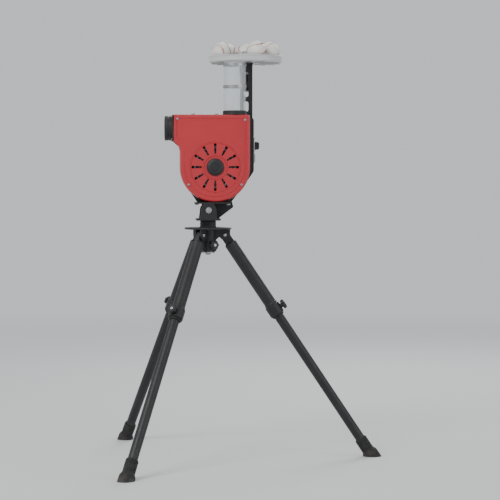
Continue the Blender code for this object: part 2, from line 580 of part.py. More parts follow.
# ---- feeder ----
def make_feeder():
    low = SHELL_TOP + GAP
    tube = turned("drop_tube", [
        (0.0425, TRAY_Z - GAP), (0.0425, low + 0.004), (0.0450, low + 0.003), (0.0450, low), (BORE_R, low),
        (BORE_R, TRAY_Z - GAP)], 24, closed=True)
    place(as_part(tube, clear_tube), location=(DROP_X, 0, 0))

    mast_in = PLATE_OUT + GAP
    mast_out = mast_in + 0.005
    mast = as_part(box("feeder_mast", (TRAY_X - 0.024, mast_in, 1.215), (TRAY_X + 0.024, mast_out, TRAY_Z - 0.0025)),
                   black_steel)
    boolean(mast, box("mast_shelf", (TRAY_X - 0.027, mast_in + 0.0006, TRAY_Z - 0.005),
                      (TRAY_X + 0.027, 0.128, TRAY_Z - GAP)), "UNION")
    boolean(mast, rod("shaft_way", 0.008, 1.40, 1.50, 18, [(TRAY_X, TRAY_Y)]))
    attach_cutters(mast)

    under = TRAY_Z - 0.005 - GAP
    gearbox = box("feeder_gearbox", (TRAY_X - 0.024, mast_out + GAP, 1.440), (TRAY_X + 0.024, 0.108, under), 0.003)
    as_part(gearbox, alloy)
    boolean(gearbox, rod("gearbox_bore", 0.005 + GAP, 1.452, 1.50, 16, [(TRAY_X, TRAY_Y)]))
    attach_cutters(gearbox)
    motor = turned("feeder_motor", [(0, 1.440 - GAP), (0.0175, 1.440 - GAP), (0.0175, 1.384), (0.0155, 1.380),
                                    (0.006, 1.380), (0.005, 1.376), (0, 1.376)], 18)
    place(as_part(motor, dark_can), location=(TRAY_X, TRAY_Y, 0))

    floor = TRAY_Z + TRAY_FLOOR
    tray = turned("feeder_tray", [
        (0.1340, 1.5080), (TRAY_R + 0.0015, 1.5080), (TRAY_R + 0.0015, 1.5045), (TRAY_R, 1.5040), (TRAY_R, TRAY_Z + 0.003),
        (0.1340, TRAY_Z), (0.0080, TRAY_Z), (0.0080, floor), (0.1320, floor), (0.1340, floor + 0.002)], 32, closed=True)
    as_part(tray, grey_plastic)
    place(tray, location=(TRAY_X, TRAY_Y, 0))
    boolean(tray, rod("drop_hole", BORE_R, 1.47, 1.50, 24,
                      [(POCKET_RING * math.cos(DROP_ANGLE), POCKET_RING * math.sin(DROP_ANGLE))]))
    attach_cutters(tray)

    star = turned("star_wheel", [
        (0.0220, 1.5180), (0.0260, 1.5120), (0.1190, 1.5120), (0.1190, 1.4915),
        (0.0150, 1.4915), (0.0130, 1.4880), (0.005 + GAP, 1.4880), (0.005 + GAP, 1.5180)], 28, closed=True)
    as_part(star, grey_plastic)
    place(star, location=(TRAY_X, TRAY_Y, 0))
    ring_spots = []
    for i in range(POCKETS):
        a = DROP_ANGLE + 2 * math.pi * i / POCKETS
        ring_spots.append((POCKET_RING * math.cos(a), POCKET_RING * math.sin(a)))
    boolean(star, rod("pockets", BALL_R + 0.0018, 1.48, 1.53, 20, ring_spots))
    attach_cutters(star)
    shaft = turned("star_shaft", [
        (0, 1.5290), (0.0080, 1.5290), (0.0130, 1.5265), (0.0140, 1.5240), (0.0140, 1.5180 + GAP),
        (0.005, 1.5180 + GAP), (0.005, 1.4550), (0, 1.4550)], 14)
    place(as_part(shaft, zinc), location=(TRAY_X, TRAY_Y, 0))
    for i, (x, y) in enumerate(ring_spots[1:]):
        bm = bmesh.new()
        bmesh.ops.create_uvsphere(bm, u_segments=14, v_segments=9, radius=BALL_R)
        mesh = bpy.data.meshes.new(f"baseball_{i + 1}")
        bm.to_mesh(mesh)
        bm.free()
        ball = as_part(bpy.data.objects.new(f"baseball_{i + 1}", mesh), ball_leather)
        place(ball, location=(TRAY_X + x, TRAY_Y + y, floor + GAP + BALL_R))


make_hub()
for number, angle in enumerate(LEG_ANGLES, 1):
    make_leg(number, angle)
make_yoke()
make_main_frame()
make_shells()
make_shell_fittings()
make_wheel()
make_motor()
make_controls()
make_feeder()
for part in parts.objects:
    if part.type == "MESH":
        smooth(part.data)
bpy.context.view_layer.update()
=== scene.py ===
"""Baseball pitching machine: the fine surface over the CAD frame, in metres, in the frame's own axes.

The ball is thrown along -X and the camera looks along +Y at the machine's left side.
"""
import json
from math import atan2, cos, exp, hypot, pi, radians, sin, tan

import bmesh
import bpy
from mathutils import Euler, Matrix, Vector
from mathutils.kdtree import KDTree

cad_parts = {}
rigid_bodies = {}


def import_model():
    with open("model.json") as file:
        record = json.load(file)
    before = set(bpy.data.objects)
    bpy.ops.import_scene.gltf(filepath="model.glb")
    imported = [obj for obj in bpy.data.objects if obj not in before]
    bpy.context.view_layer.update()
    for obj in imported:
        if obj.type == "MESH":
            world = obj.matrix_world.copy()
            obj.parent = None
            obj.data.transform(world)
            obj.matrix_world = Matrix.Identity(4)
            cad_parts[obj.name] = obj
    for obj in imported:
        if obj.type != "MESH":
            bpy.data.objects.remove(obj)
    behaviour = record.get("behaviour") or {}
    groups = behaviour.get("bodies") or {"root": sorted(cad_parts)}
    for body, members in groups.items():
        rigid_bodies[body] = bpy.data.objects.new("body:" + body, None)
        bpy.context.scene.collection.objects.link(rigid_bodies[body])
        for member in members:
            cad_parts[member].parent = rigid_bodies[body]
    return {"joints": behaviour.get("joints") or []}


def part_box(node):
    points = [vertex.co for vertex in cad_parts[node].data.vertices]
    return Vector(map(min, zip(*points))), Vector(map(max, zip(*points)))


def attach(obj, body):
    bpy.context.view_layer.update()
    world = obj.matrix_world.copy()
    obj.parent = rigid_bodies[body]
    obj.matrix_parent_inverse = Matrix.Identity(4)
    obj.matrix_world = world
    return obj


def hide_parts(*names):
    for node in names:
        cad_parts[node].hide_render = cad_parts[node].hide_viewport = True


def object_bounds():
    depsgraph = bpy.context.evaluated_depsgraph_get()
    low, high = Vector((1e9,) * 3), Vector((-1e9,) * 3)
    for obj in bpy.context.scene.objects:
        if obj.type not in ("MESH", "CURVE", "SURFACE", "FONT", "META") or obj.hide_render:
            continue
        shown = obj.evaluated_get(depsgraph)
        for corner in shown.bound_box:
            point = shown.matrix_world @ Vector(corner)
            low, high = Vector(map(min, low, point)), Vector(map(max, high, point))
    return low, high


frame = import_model()
CAD_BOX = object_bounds()
JOINTS = {joint["name"]: joint for joint in frame["joints"]}
UP = Vector((0, 0, 1))


# ---- the frame's own places ----
def low(node):
    return Vector(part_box(node)[0])


def high(node):
    return Vector(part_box(node)[1])


def middle(node):
    return (low(node) + high(node)) / 2


def ends(node):
    """A node's lowest and highest corners."""
    return low(node), high(node)


def joint_at(name):
    return Vector(JOINTS[name]["pos_m"])


def joint_axis(name):
    return Vector(JOINTS[name]["axis"])


def at(x, y, z):
    return Matrix.Translation((x, y, z))


def spin(angle):
    """A turn about local Z."""
    return Matrix.Rotation(angle, 4, "Z")


def axes(origin, x, y, z):
    """The matrix that puts local X, Y and Z along three directions, from an origin."""
    turn = Matrix((Vector(x), Vector(y), Vector(z))).transposed().to_4x4()
    return Matrix.Translation(origin) @ turn


def along(origin, direction):
    """The matrix that puts local Z along a direction, from an origin."""
    return Matrix.Translation(origin) @ Vector(direction).to_track_quat("Z", "Y").to_matrix().to_4x4()


def facing_back(x):
    """The matrix for an outline in Y and Z, with its thickness towards +X from an X."""
    return axes((x, 0, 0), (0, 1, 0), UP, (1, 0, 0))


HERE = Matrix.Identity(4)
UPRIGHT = axes((0, 0, 0), (1, 0, 0), UP, (0, -1, 0))  # outline in X and Z, thickness towards -Y
OUTWARD = Matrix.Rotation(pi / 2, 4, "Y")  # local Z to where local X was
HUB_X = joint_at("swivel").x
PIVOT = joint_at("tilt")
AXLE = joint_at("wheel_spin")
STAR = joint_at("star_turn")
SHELL_LOW = low("housing_left")
SHELL_HIGH = high("housing_left")
SHELL_R = SHELL_HIGH.x - AXLE.x
SHELL_HALF = -SHELL_LOW.y
SHELL_TOP = SHELL_HIGH.z
BARREL_FRONT = AXLE.x - SHELL_LOW.x
PATH_Z = middle("muzzle_collar").z
DROP = middle("drop_tube")
BORE_R = 0.0395
GAP = 0.0003


# ---- materials ----
class Paint:
    """Builds one layered Principled material."""

    def __init__(self, name, colour, roughness, metallic=0.0):
        self.mat = bpy.data.materials.new(name)
        self.mat.use_nodes = True
        self.nodes = self.mat.node_tree.nodes
        self.links = self.mat.node_tree.links
        self.shader = self.nodes["Principled BSDF"]
        self.shader.inputs["Metallic"].default_value = metallic
        self.shader.inputs["Base Color"].default_value = (*colour, 1.0)
        self.shader.inputs["Roughness"].default_value = roughness
        self.mat.diffuse_color = (*colour, 1.0)
        flat = self.node("ShaderNodeRGB")
        flat.outputs[0].default_value = (*colour, 1.0)
        self.colour = flat.outputs[0]
        self.rough = roughness
        self.height = None
        self.where = self.node("ShaderNodeTexCoord").outputs["Object"]

    def node(self, kind, **settings):
        made = self.nodes.new(kind)
        for key, value in settings.items():
            setattr(made, key, value)
        return made

    def stretch(self, scale):
        made = self.node("ShaderNodeMapping")
        made.inputs["Scale"].default_value = scale
        self.links.new(self.where, made.inputs["Vector"])
        return made.outputs[0]

    def noise(self, scale, detail=4.0, rough=0.55, stretch=None):
        made = self.node("ShaderNodeTexNoise")
        made.inputs["Scale"].default_value = scale
        made.inputs["Detail"].default_value = detail
        made.inputs["Roughness"].default_value = rough
        self.links.new(self.stretch(stretch) if stretch else self.where, made.inputs["Vector"])
        return made.outputs["Fac"]

    def cells(self, scale):
        made = self.node("ShaderNodeTexVoronoi")
        made.inputs["Scale"].default_value = scale
        self.links.new(self.where, made.inputs["Vector"])
        return made.outputs["Distance"]

    def ramp(self, source, start, end, low_value=0.0, high_value=1.0):
        made = self.node("ShaderNodeMapRange")
        limits = {"From Min": start, "From Max": end, "To Min": low_value, "To Max": high_value}
        for key, value in limits.items():
            made.inputs[key].default_value = value
        self.links.new(source, made.inputs["Value"])
        return made.outputs[0]

    def times(self, a, b):
        """The product of two factors, each a socket or a number."""
        made = self.node("ShaderNodeMath", operation="MULTIPLY", use_clamp=True)
        for socket, value in zip(made.inputs, (a, b)):
            if isinstance(value, float):
                socket.default_value = value
            else:
                self.links.new(value, socket)
        return made.outputs[0]

    def tint(self, colour, factor):
        """Lays another colour over the one so far, by a 0 to 1 factor."""
        made = self.node("ShaderNodeMix", data_type="RGBA")
        self.links.new(factor, made.inputs["Factor"])
        self.links.new(self.colour, made.inputs["A"])
        made.inputs["B"].default_value = (*colour, 1.0)
        self.colour = made.outputs["Result"]
        return self

    def gloss(self, factor, roughness):
        """Blends the roughness so far towards another value, by a 0 to 1 factor."""
        made = self.node("ShaderNodeMix", data_type="FLOAT")
        self.links.new(factor, made.inputs["Factor"])
        if isinstance(self.rough, float):
            made.inputs["A"].default_value = self.rough
        else:
            self.links.new(self.rough, made.inputs["A"])
        made.inputs["B"].default_value = roughness
        self.rough = made.outputs["Result"]
        return self

    def bump(self, source, depth, strength=1.0):
        """Adds a bump of a depth in metres over what is there."""
        made = self.node("ShaderNodeBump")
        made.inputs["Strength"].default_value = strength
        made.inputs["Distance"].default_value = depth
        self.links.new(source, made.inputs["Height"])
        if self.height:
            self.links.new(self.height, made.inputs["Normal"])
        self.height = made.outputs["Normal"]
        return self

    def edges(self, width, amount):
        """Where the surface turns within a width in metres, broken up by noise."""
        rounded = self.node("ShaderNodeBevel")
        rounded.samples = 4
        rounded.inputs["Radius"].default_value = width
        likeness = self.node("ShaderNodeVectorMath", operation="DOT_PRODUCT")
        self.links.new(rounded.outputs[0], likeness.inputs[0])
        self.links.new(self.node("ShaderNodeNewGeometry").outputs["Normal"], likeness.inputs[1])
        sharp = self.ramp(likeness.outputs["Value"], 0.985, 0.9)
        return self.times(sharp, self.ramp(self.noise(140.0, 6.0), 0.42, 0.66, 0.0, amount))

    def upward(self, output):
        """The Z part of the surface's normal or position."""
        split = self.node("ShaderNodeSeparateXYZ")
        self.links.new(self.node("ShaderNodeNewGeometry").outputs[output], split.inputs[0])
        return split.outputs["Z"]

    def settled(self, scale, amount):
        """Where dust settles: faces that look up, in patches."""
        patches = self.ramp(self.noise(scale), 0.35, 0.75, 0.0, amount)
        return self.times(self.ramp(self.upward("Normal"), 0.1, 1.0), patches)

    def near_ground(self, top, amount):
        """Splashes that fade out up to a height above the ground."""
        patches = self.ramp(self.noise(30.0, 8.0), 0.42, 0.62, 0.0, amount)
        return self.times(self.ramp(self.upward("Position"), top, 0.0), patches)

    def set(self, name, value):
        self.shader.inputs[name].default_value = value
        return self

    def done(self):
        self.links.new(self.colour, self.shader.inputs["Base Color"])
        if not isinstance(self.rough, float):
            self.links.new(self.rough, self.shader.inputs["Roughness"])
        if self.height:
            self.links.new(self.height, self.shader.inputs["Normal"])
        return self.mat


DUST = (0.36, 0.3, 0.23)


def powder_coat():
    p = Paint("black_powder_coat", (0.01, 0.01, 0.011), 0.4)
    p.tint((0.017, 0.017, 0.018), p.ramp(p.noise(7.0), 0.4, 0.7))
    p.gloss(p.ramp(p.noise(45.0), 0.35, 0.65), 0.52)
    p.tint((0.16, 0.16, 0.165), p.edges(0.0014, 0.55))
    scratch = p.ramp(p.noise(240.0, 2.0, 0.4, (1.0, 1.0, 0.04)), 0.72, 0.76)
    p.tint((0.06, 0.06, 0.064), p.times(scratch, 0.4))
    p.tint(DUST, p.settled(12.0, 0.07))
    p.tint(DUST, p.near_ground(0.14, 0.12))
    p.gloss(p.near_ground(0.16, 0.5), 0.9)
    p.set("Specular IOR Level", 0.42)
    p.bump(p.noise(1100.0, 3.0), 0.00012, 0.55).bump(p.noise(260.0, 2.0), 0.00012, 0.35)
    return p.done()


def red_plastic():
    p = Paint("red_moulded_plastic", (0.4, 0.018, 0.026), 0.33)
    p.tint((0.47, 0.024, 0.032), p.ramp(p.noise(4.0, 4.0), 0.35, 0.7))
    p.tint((0.29, 0.01, 0.016), p.times(p.ramp(p.noise(2.6, 3.0), 0.55, 0.8), 0.5))
    p.gloss(p.ramp(p.noise(24.0, 6.0), 0.38, 0.7), 0.44)
    scuff = p.ramp(p.noise(46.0, 3.0, 0.5, (0.1, 1.0, 1.0)), 0.7, 0.74)
    p.tint((0.55, 0.13, 0.12), p.times(scuff, 0.25)).gloss(p.times(scuff, 0.5), 0.7)
    p.tint((0.56, 0.14, 0.13), p.edges(0.0015, 0.45))
    p.tint(DUST, p.settled(14.0, 0.1)).gloss(p.settled(14.0, 0.35), 0.8)
    p.set("Coat Weight", 0.1).set("Coat Roughness", 0.22)
    p.bump(p.noise(900.0, 2.0), 0.0001, 0.4).bump(p.noise(22.0, 2.0), 0.0004, 0.12)
    return p.done()


def black_plastic():
    p = Paint("black_textured_plastic", (0.012, 0.012, 0.013), 0.48)
    p.tint((0.024, 0.024, 0.025), p.ramp(p.noise(14.0), 0.45, 0.8))
    p.tint((0.075, 0.075, 0.075), p.edges(0.0012, 0.5))
    p.gloss(p.ramp(p.noise(60.0), 0.4, 0.7), 0.62)
    p.tint(DUST, p.settled(20.0, 0.07))
    p.set("Specular IOR Level", 0.42)
    p.bump(p.cells(1500.0), 0.00015, 0.6)
    return p.done()


def rubber():
    p = Paint("black_rubber", (0.012, 0.012, 0.012), 0.78)
    p.tint((0.03, 0.029, 0.028), p.ramp(p.noise(25.0, 6.0), 0.45, 0.75))
    p.tint(DUST, p.near_ground(0.035, 0.14))
    p.tint((0.07, 0.065, 0.06), p.edges(0.0012, 0.5))
    p.gloss(p.ramp(p.noise(80.0), 0.4, 0.7), 0.92)
    p.bump(p.noise(900.0, 4.0), 0.0002, 0.6)
    return p.done()


def zinc():
    p = Paint("zinc_plated_steel", (0.4, 0.41, 0.42), 0.32, 1.0)
    p.tint((0.3, 0.29, 0.26), p.ramp(p.noise(120.0, 5.0), 0.45, 0.75))
    p.tint((0.18, 0.11, 0.07), p.times(p.ramp(p.noise(260.0, 6.0), 0.64, 0.76), 0.5))
    p.gloss(p.ramp(p.noise(300.0), 0.35, 0.7), 0.48)
    p.bump(p.noise(800.0, 3.0), 0.0001, 0.5)
    return p.done()


def cast_alloy():
    p = Paint("cast_aluminium", (0.46, 0.47, 0.48), 0.46, 1.0)
    p.tint((0.34, 0.35, 0.37), p.ramp(p.noise(30.0, 6.0), 0.4, 0.75))
    p.tint((0.62, 0.62, 0.63), p.edges(0.0012, 0.8))
    p.tint((0.1, 0.1, 0.1), p.times(p.settled(40.0, 0.5), 0.4))
    p.gloss(p.ramp(p.noise(220.0), 0.35, 0.7), 0.62)
    p.bump(p.cells(1100.0), 0.0002, 0.7)
    return p.done()


def brushed_alloy():
    p = Paint("brushed_aluminium", (0.52, 0.53, 0.54), 0.3, 1.0)
    p.gloss(p.ramp(p.noise(500.0, 2.0, 0.5, (1.0, 0.02, 1.0)), 0.3, 0.7), 0.46)
    p.tint((0.4, 0.41, 0.42), p.ramp(p.noise(20.0, 4.0), 0.45, 0.8))
    p.bump(p.noise(1600.0, 2.0, 0.5, (1.0, 0.02, 1.0)), 0.0001, 0.6)
    return p.done()


def motor_paint():
    p = Paint("motor_enamel", (0.016, 0.016, 0.018), 0.28)
    p.gloss(p.ramp(p.noise(40.0, 5.0), 0.4, 0.7), 0.42)
    p.tint((0.2, 0.2, 0.21), p.edges(0.0012, 0.6)).tint(DUST, p.settled(18.0, 0.1))
    p.bump(p.noise(300.0, 2.0), 0.0002, 0.3)
    return p.done()


def grey_plastic():
    p = Paint("light_grey_plastic", (0.5, 0.51, 0.51), 0.38)
    p.tint((0.57, 0.57, 0.56), p.ramp(p.noise(10.0, 4.0), 0.4, 0.75))
    p.tint((0.36, 0.34, 0.31), p.times(p.ramp(p.noise(50.0, 8.0), 0.6, 0.78), 0.35))
    p.gloss(p.ramp(p.noise(60.0, 5.0), 0.4, 0.7), 0.52)
    p.set("Subsurface Weight", 0.06).set("Subsurface Scale", 0.004)
    p.bump(p.noise(900.0, 3.0), 0.00012, 0.4)
    return p.done()


def clear_plastic():
    """Polycarbonate: a thin, faintly hazed sheet that light passes straight through."""
    p = Paint("clear_polycarbonate", (0.66, 0.71, 0.74), 0.1)
    haze = p.ramp(p.noise(40.0, 8.0, 0.6, (1.0, 1.0, 0.25)), 0.4, 0.7, 0.16, 0.34)
    p.gloss(p.ramp(p.noise(90.0, 5.0), 0.4, 0.7), 0.3)
    p.bump(p.noise(300.0, 2.0), 0.0001, 0.25)
    p.set("IOR", 1.58).set("Specular IOR Level", 0.7)
    mat = p.done()
    p.links.new(haze, p.shader.inputs["Alpha"])
    return mat


def ball_leather():
    p = Paint("white_ball_leather", (0.74, 0.72, 0.67), 0.42)
    p.tint((0.64, 0.6, 0.52), p.ramp(p.noise(35.0, 6.0), 0.46, 0.78))
    p.tint((0.38, 0.29, 0.2), p.times(p.ramp(p.noise(70.0, 8.0), 0.6, 0.78), 0.45))
    p.gloss(p.ramp(p.noise(120.0, 4.0), 0.4, 0.7), 0.58)
    p.set("Subsurface Weight", 0.05).set("Subsurface Scale", 0.002)
    p.bump(p.cells(1400.0), 0.0002, 0.45).bump(p.noise(180.0, 3.0), 0.0002, 0.25)
    return p.done()


def thread():
    p = Paint("red_waxed_thread", (0.42, 0.014, 0.016), 0.6)
    p.tint((0.26, 0.008, 0.01), p.ramp(p.noise(400.0), 0.45, 0.7)).bump(p.noise(3000.0), 0.0001, 0.6)
    return p.done()


def paint_mark(name, colour):
    p = Paint(name, colour, 0.5)
    p.tint(tuple(c * 0.6 for c in colour), p.ramp(p.noise(260.0, 5.0), 0.58, 0.7))
    p.bump(p.noise(900.0), 0.0001, 0.3)
    return p.done()


def lens(name, colour):
    p = Paint(name, colour, 0.12)
    p.tint(tuple(c * 0.5 for c in colour), p.ramp(p.cells(900.0), 0.1, 0.5)).bump(p.cells(900.0), 0.0003, 0.4)
    p.set("Coat Weight", 0.6)
    return p.done()


MATS = {
    "coat": (powder_coat(), "black_steel"),
    "red": (red_plastic(), "red_shell"),
    "plastic": (black_plastic(), "black_plastic"),
    "rubber": (rubber(), "rubber"),
    "zinc": (zinc(), "zinc_steel"),
    "cast": (cast_alloy(), "alloy"),
    "brushed": (brushed_alloy(), "alloy"),
    "motor": (motor_paint(), "motor_black"),
    "grey": (grey_plastic(), "grey_plastic"),
    "clear": (clear_plastic(), "clear_tube"),
    "leather": (ball_leather(), "ball_leather"),
    "thread": (thread(), "ball_leather"),
    "white": (paint_mark("white_paint", (0.75, 0.75, 0.72)), "grey_plastic"),
    "lamp": (lens("green_lens", (0.05, 0.42, 0.1)), "black_plastic"),
}


# ---- building tools ----
KNOB_LOBES = 6


def settle(obj, body, paint, where=None, stands_for=()):
    """Gives a piece its place, its material and its body, and hides the CAD nodes that it stands for."""
    if obj.name not in bpy.context.scene.collection.all_objects:
        bpy.context.scene.collection.objects.link(obj)
    if where is not None:
        obj.matrix_world = where
    mat, slot = MATS[paint]
    obj.data.materials.clear()
    obj.data.materials.append(mat)
    if obj.type == "MESH" and "flat_faces" not in obj.modifiers:
        flat = obj.modifiers.new("flat_faces", "WEIGHTED_NORMAL")
        flat.keep_sharp = True
    bpy.context.view_layer.update()
    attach(obj, body)
    if stands_for:
        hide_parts(*stands_for)
    return obj


def shade(mesh, angle=32.0):
    mesh.shade_smooth()
    mesh.set_sharp_from_angle(angle=radians(angle))


def solid(name, bm, angle=32.0):
    """The object that holds a bmesh, smooth except across edges over an angle in degrees."""
    mesh = bpy.data.meshes.new(name)
    bm.to_mesh(mesh)
    bm.free()
    shade(mesh, angle)
    return bpy.data.objects.new(name, mesh)


def arc(centre, radius, start, end, steps):
    angles = [radians(start + (end - start) * i / steps) for i in range(steps + 1)]
    return [(centre[0] + radius * cos(a), centre[1] + radius * sin(a)) for a in angles]


def ring(centre, radius, steps=40):
    return arc(centre, radius, 0.0, 360.0, steps)[:-1]


def rectangle(x0, y0, x1, y1, radius, steps=3):
    """A rectangle between two corners, with rounded corners."""
    return soften([(x0, y0), (x1, y0), (x1, y1), (x0, y1)], radius, steps=steps)


def corners(lo_a, lo_b, hi_a, hi_b, inset):
    """Four points, each set in from a rectangle's corner."""
    return [(a, b) for b in (lo_b + inset, hi_b - inset) for a in (lo_a + inset, hi_a - inset)]


def soften(points, radius, closed=True, steps=3):
    """Rounds an outline's corners; a point may bring its own radius as a third value."""
    count = len(points)
    out = []
    for i, point in enumerate(points):
        r = point[2] if len(point) > 2 else radius
        here = Vector(point[:2])
        if r <= 0 or (not closed and i in (0, count - 1)):
            out.append(tuple(here))
            continue
        before = Vector(points[i - 1][:2]) - here
        after = Vector(points[(i + 1) % count][:2]) - here
        angle = before.angle(after, pi)
        if angle > pi * 0.97 or before.length < 1e-6 or after.length < 1e-6:
            out.append(tuple(here))
            continue
        cut = min(r / tan(angle / 2), before.length * 0.48, after.length * 0.48)
        a = here + before.normalized() * cut
        b = here + after.normalized() * cut
        for k in range(steps + 1):
            t = k / steps
            out.append(tuple((1 - t) ** 2 * a + 2 * t * (1 - t) * here + t ** 2 * b))
    return out


def turned(name, profile, sides=72, closed=False, lobes=None, edge=0.0006):
    """A softened profile of (radius, height) points turned about Z; lobes(angle, radius) shapes it."""
    points = soften(profile, edge, closed)
    bm = bmesh.new()
    rings = []
    for r, h in points:
        if r < 1e-6:
            rings.append([bm.verts.new((0, 0, h))])
            continue
        loop = []
        for i in range(sides):
            a = 2 * pi * i / sides
            radius = lobes(a, r) if lobes else r
            loop.append(bm.verts.new((radius * cos(a), radius * sin(a), h)))
        rings.append(loop)
    pairs = list(zip(rings, rings[1:]))
    if closed:
        pairs.append((rings[-1], rings[0]))
    for upper, lower in pairs:
        for i in range(sides):
            j = (i + 1) % sides
            if len(upper) == 1 and len(lower) > 1:
                bm.faces.new((upper[0], lower[i], lower[j]))
            elif len(lower) == 1 and len(upper) > 1:
                bm.faces.new((upper[i], lower[0], upper[j]))
            elif len(upper) > 1:
                bm.faces.new((upper[i], lower[i], lower[j], upper[j]))
    bmesh.ops.recalc_face_normals(bm, faces=bm.faces)
    return solid(name, bm)


def prism(name, outlines, base, top, edge=0.0008, segments=2):
    """Outlines in local X and Y, the later ones holes, from base to top along Z, with softened edges."""
    curve = bpy.data.curves.new(name, "CURVE")
    curve.dimensions = "2D"
    curve.fill_mode = "BOTH"
    curve.extrude = (top - base) / 2
    for outline in outlines:
        spline = curve.splines.new("POLY")
        spline.points.add(len(outline) - 1)
        for point, (x, y) in zip(spline.points, outline):
            point.co = (x, y, 0.0, 1.0)
        spline.use_cyclic_u = True
    flat = bpy.data.objects.new(name + "_outline", curve)
    bpy.context.scene.collection.objects.link(flat)
    mesh = bpy.data.meshes.new_from_object(flat.evaluated_get(bpy.context.evaluated_depsgraph_get()))
    bpy.data.objects.remove(flat)
    bm = bmesh.new()
    bm.from_mesh(mesh)
    bpy.data.meshes.remove(mesh)
    bmesh.ops.remove_doubles(bm, verts=bm.verts, dist=0.00001)
    bmesh.ops.dissolve_limit(bm, angle_limit=0.01, verts=bm.verts, edges=bm.edges)
    bmesh.ops.translate(bm, vec=(0, 0, (base + top) / 2), verts=bm.verts)
    bmesh.ops.recalc_face_normals(bm, faces=bm.faces)
    if edge:
        rims = [e for e in bm.edges if e.calc_face_angle(0.0) > 0.9]
        bmesh.ops.bevel(bm, geom=rims, offset=edge, segments=segments, affect="EDGES", profile=0.5,
                        clamp_overlap=True)
    return solid(name, bm)


def block(name, corner, far, edge=0.001, segments=3):
    """A box between two corners with rounded edges."""
    bm = bmesh.new()
    bmesh.ops.create_cube(bm, size=1.0)
    bmesh.ops.scale(bm, vec=[b - a for a, b in zip(corner, far)], verts=bm.verts)
    bmesh.ops.translate(bm, vec=[(a + b) / 2 for a, b in zip(corner, far)], verts=bm.verts)
    bmesh.ops.bevel(bm, geom=bm.edges[:], offset=edge, segments=segments, affect="EDGES", profile=0.5)
    return solid(name, bm)


def carve(obj, *cutters):
    """Cuts other shapes, given in the same local frame, out of a piece."""
    scene = bpy.context.scene.collection.objects
    scene.link(obj)
    for tool in cutters:
        scene.link(tool)
        mod = obj.modifiers.new(tool.name, "BOOLEAN")
        mod.operation = "DIFFERENCE"
        mod.object = tool
        mod.solver = "MANIFOLD"
    bpy.context.view_layer.update()
    mesh = bpy.data.meshes.new_from_object(obj.evaluated_get(bpy.context.evaluated_depsgraph_get()))
    obj.modifiers.clear()
    obj.data = mesh
    for tool in cutters:
        bpy.data.objects.remove(tool)
    shade(mesh)
    scene.unlink(obj)
    return obj


def moved(obj, where):
    obj.data.transform(where)
    return obj


def joined(name, objects):
    """One mesh from several, each already in the same local frame."""
    bm = bmesh.new()
    for obj in objects:
        bm.from_mesh(obj.data)
        bpy.data.objects.remove(obj)
    return solid(name, bm)


def cable(name, points, radius, cyclic=False):
    """A round wire through points, with flat ends or closed on itself."""
    curve = bpy.data.curves.new(name, "CURVE")
    curve.dimensions = "3D"
    curve.bevel_depth = radius
    curve.bevel_resolution = 2
    curve.use_fill_caps = True
    spline = curve.splines.new("POLY")
    spline.points.add(len(points) - 1)
    for point, co in zip(spline.points, points):
        point.co = (*co, 1.0)
    spline.use_cyclic_u = cyclic
    return bpy.data.objects.new(name, curve)


def hexagon(radius):
    return soften(ring((0, 0), radius, 6), radius * 0.06)


def socket_screw(name, radius, height, where, body):
    """A button-head screw with a hexagon socket, its head's base at the local origin."""
    profile = [(0, height), (radius * 0.55, height * 0.97), (radius, height * 0.35), (radius, 0), (0, 0)]
    head = turned(name, profile, 32, edge=radius * 0.08)
    carve(head, prism(name + "_socket", [hexagon(radius * 0.42)], height * 0.35, height * 2, 0))
    return settle(head, body, "zinc", where)


def hex_bolt(name, radius, height, where, body):
    """A hexagon head or nut on a washer, its washer's base at the local origin."""
    base = radius * 0.16
    head = prism(name, [hexagon(radius)], base, height, radius * 0.05)
    dome = turned(name + "_dome", [(0, height + radius * 0.06), (radius * 0.5, height + radius * 0.05),
                                   (radius * 0.82, height - 0.0002), (0, height - 0.001)], 32)
    washer = turned(name + "_washer", [(0, base), (radius * 1.25, base), (radius * 1.25, 0), (0, 0)], 32)
    return settle(joined(name, [head, dome, washer]), body, "zinc", where)


def lobed_knob(name, radius, height, neck, tip, where, body, node):
    """A moulded clamping knob with soft lobes on a steel stud; its origin is on the turning axis."""
    top = neck + 0.003 + height

    def lobe(angle, r):
        share = max(0.0, min(1.0, (r - radius * 0.55) / (radius * 0.45)))
        return r * (1.0 - 0.17 * share * (0.5 - 0.5 * cos(KNOB_LOBES * angle)))

    grip = turned(name + "_grip", [
        (0, top - 0.0015), (radius * 0.34, top - 0.0015), (radius * 0.38, top), (radius * 0.8, top),
        (radius, top - 0.0035), (radius, neck + 0.0055), (radius * 0.86, neck + 0.003), (0.009, neck + 0.003),
        (0.009, neck), (0, neck)], 96, lobes=lobe, edge=0.0014)
    settle(grip, body, "plastic", where, [node])
    stud = turned(name + "_stud", [(0, neck + 0.001), (0.004, neck + 0.001), (0.004, tip + 0.001),
                                   (0.0032, tip), (0, tip)], 32)
    settle(stud, body, "zinc", where)
    insert = turned(name + "_insert", [(0, top - 0.0008), (radius * 0.3, top - 0.001),
                                       (radius * 0.33, top - 0.0018), (0, top - 0.0018)], 40)
    settle(insert, body, "zinc", where)


